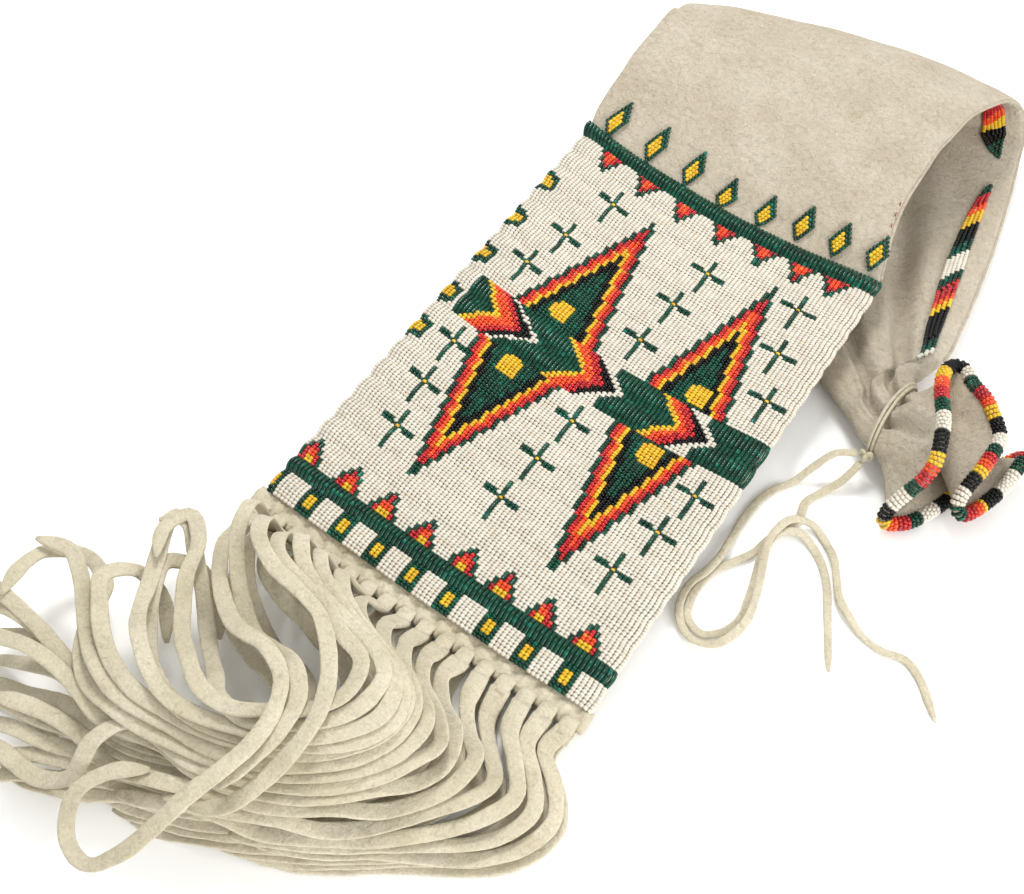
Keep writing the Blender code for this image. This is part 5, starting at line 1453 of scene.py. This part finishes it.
def tie_ends(knot, hide):
    """The tie's two long ends, the second laid under the first where they leave the knot."""
    pile = Pile((0.06, 0.02), (0.23, 0.2))
    for k in (1, 0):
        hand = [np.array(p) * MM for p in TIE_ROUTES[k]]
        start = knot[:2] + unit(hand[0] - knot[:2]) * (KNOT_RADIUS + 2 * GAP)
        route = evenly_along([start, *hand], THONG_SPACING * 0.7)
        first = knot[2] + (1 - 2 * k) * (TIE_THICKNESS / 2 + GAP)
        z = pile.lay(route, first, TIE_WIDTH, TIE_THICKNESS)
        path = evenly_along(np.column_stack([route, z]), 2 * MM)
        side = np.array((-1.0, 1.0, 0)) / math.sqrt(2)
        rings = soft_strip(path, TIE_WIDTH, TIE_THICKNESS, side, 60 + k, crease=0.45 * MM)
        end = lofted(f"tie_end_{k + 1}_strip", rings, hide)
        settle(end, "hide", f"tie_end_{k + 1}")
        declare_cord(end, path, TIE_WIDTH)


def seam_stitches(tube, thread):
    """A few short red stitches left along the right edge of the fold."""
    bm = bmesh.new()
    for n in range(6):
        v = PANEL_LENGTH + (14 + 6.5 * n) * MM
        here, out = tube.frame(np.array([v, v + 1 * MM]), np.array([0.985, 0.985]))
        row = tube.row(v)
        place = here[0] + out[0] * row[9] * 0.55
        made = bmesh.ops.create_cone(bm, cap_ends=True, segments=8, radius1=0.28 * MM, radius2=0.28 * MM,
                                     depth=1.8 * MM)
        along = unit(here[1] - here[0] + out[0] * 0.5 * MM)
        turn = Vector((0, 0, 1)).rotation_difference(Vector(along)).to_matrix()
        bmesh.ops.rotate(bm, verts=made["verts"], matrix=turn)
        bmesh.ops.translate(bm, verts=made["verts"], vec=place)
    settle(mesh_from(bm, "seam_stitches", thread), "red_beads")


def light_the_table():
    """A pale table, a soft light from above the far left, a broad low one from the right, a pale surround."""
    bm = bmesh.new()
    bmesh.ops.create_grid(bm, x_segments=1, y_segments=1, size=TABLE_SIZE)
    bmesh.ops.translate(bm, verts=bm.verts, vec=(0, 0, -TABLE_DROP))
    data = bpy.data.meshes.new("table")
    bm.to_mesh(data)
    bm.free()
    data.materials.append(pale_table())
    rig.stage(placed("table", data))
    for name, place, size, power in LAMPS:
        light = bpy.data.lights.new(name, "AREA")
        light.shape = "DISK"
        light.size = size
        light.energy = power
        lamp = placed(name, light)
        lamp.location = place
        lamp.rotation_euler = (-Vector(place)).to_track_quat("-Z", "Y").to_euler()
    world = bpy.data.worlds.new("surround")
    world.use_nodes = True
    world.node_tree.nodes["Background"].inputs["Color"].default_value = colour("#FFFFFF")
    world.node_tree.nodes["Background"].inputs["Strength"].default_value = SURROUND
    bpy.context.scene.world = world
    bpy.context.scene.view_settings.view_transform = "Standard"


def main():
    place_camera()
    tail_hide = tanned_hide("white_buckskin_cut_strips", "#CEC5AE", "#C0B69B", "#AA9C78", 0.5)
    hide = tanned_hide("white_buckskin_suede", "#CABFAB", "#BFB29B", "#AD9975", 0.9)
    fringe_thongs(tail_hide)
    tube = HideTube()
    knot = neck_tie(tube, tail_hide)
    tie_ends(knot, tail_hide)
    bag_hide(tube, hide)
    seam_welt(tube, hide)
    fringe_hem(tail_hide)
    seam_stitches(tube, cotton_thread("waxed_cotton_thread", "#B4352E"))

    box = BeadBox()
    panel_beads(tube, box)
    leaf_beads(tube, box)
    edging_beads(tube, box)
    mouth_rim(hide, box)
    glass = {
        "white": seed_bead_glass("opaque_white_glass", "#D5CFC1", "#C6BFB0", "#CEC2AE", 0.36, 0.15, 0.35),
        "green": seed_bead_glass("bottle_green_glass", "#054632", "#022A1D", "#0A5C49", 0.16, 0.25, 0.2),
        "red": seed_bead_glass("ruby_red_glass", "#BE1D20", "#960F19", "#CC3A2E", 0.2, 0.25, 0.35),
        "orange": seed_bead_glass("orange_red_glass", "#E0521F", "#D23A12", "#E27A30", 0.2, 0.25, 0.35),
        "yellow": seed_bead_glass("golden_yellow_glass", "#D8B423", "#C79A17", "#DCA22C", 0.22, 0.25, 0.35),
        "black": seed_bead_glass("jet_black_glass", "#0A0C0D", "#040505", "#0C1A14", 0.14, 0.2, 0.15),
    }
    shapes = {"round": seed_bead("round_bead", 0.6, 0.27), "rib": seed_bead("rib_bead", 0.96, 0.42)}
    trees = {shape: bead_scatter(bead) for shape, bead in shapes.items()}
    figures = [f"{side}_figure_{half}" for side in ("left", "right") for half in ("upper", "lower")]
    feathers = [f"feather_{side}" for side in ("left", "middle", "right")]
    nodes = {
        "white": ["bead_ground", "mouth_rim"],
        "green": ["top_band", "bottom_band", "side_bar", *(f"diamond_{k + 1}" for k in range(8)),
                  *(f"{name}_quill" for name in feathers), *(f"{name}_field" for name in figures)],
        "red": [f"{name}_border" for name in figures],
        "orange": [f"{name}_head" for name in feathers],
        "yellow": [f"{name}_window" for name in figures],
        "black": ["side_edging"],
    }
    for (tone, shape), found in box.beads.items():
        total = len(found)
        parts = math.ceil(total / MOST_BEADS)
        for n in range(parts):
            part = found[total * n // parts : total * (n + 1) // parts]
            name = f"{tone}_{shape}_beads" + (f"_{n + 1}" if parts > 1 else "")
            string_beads(name, part, trees[shape], glass[tone], f"{tone}_beads", nodes[tone])
    for bead in shapes.values():
        bpy.data.objects.remove(bead)
    light_the_table()
    with open("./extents.json", "w") as file:
        json.dump({"solids": [list(corner) for corner in solid_box],
                   "dressed": [list(corner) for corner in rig.bounds()]}, file)


main()
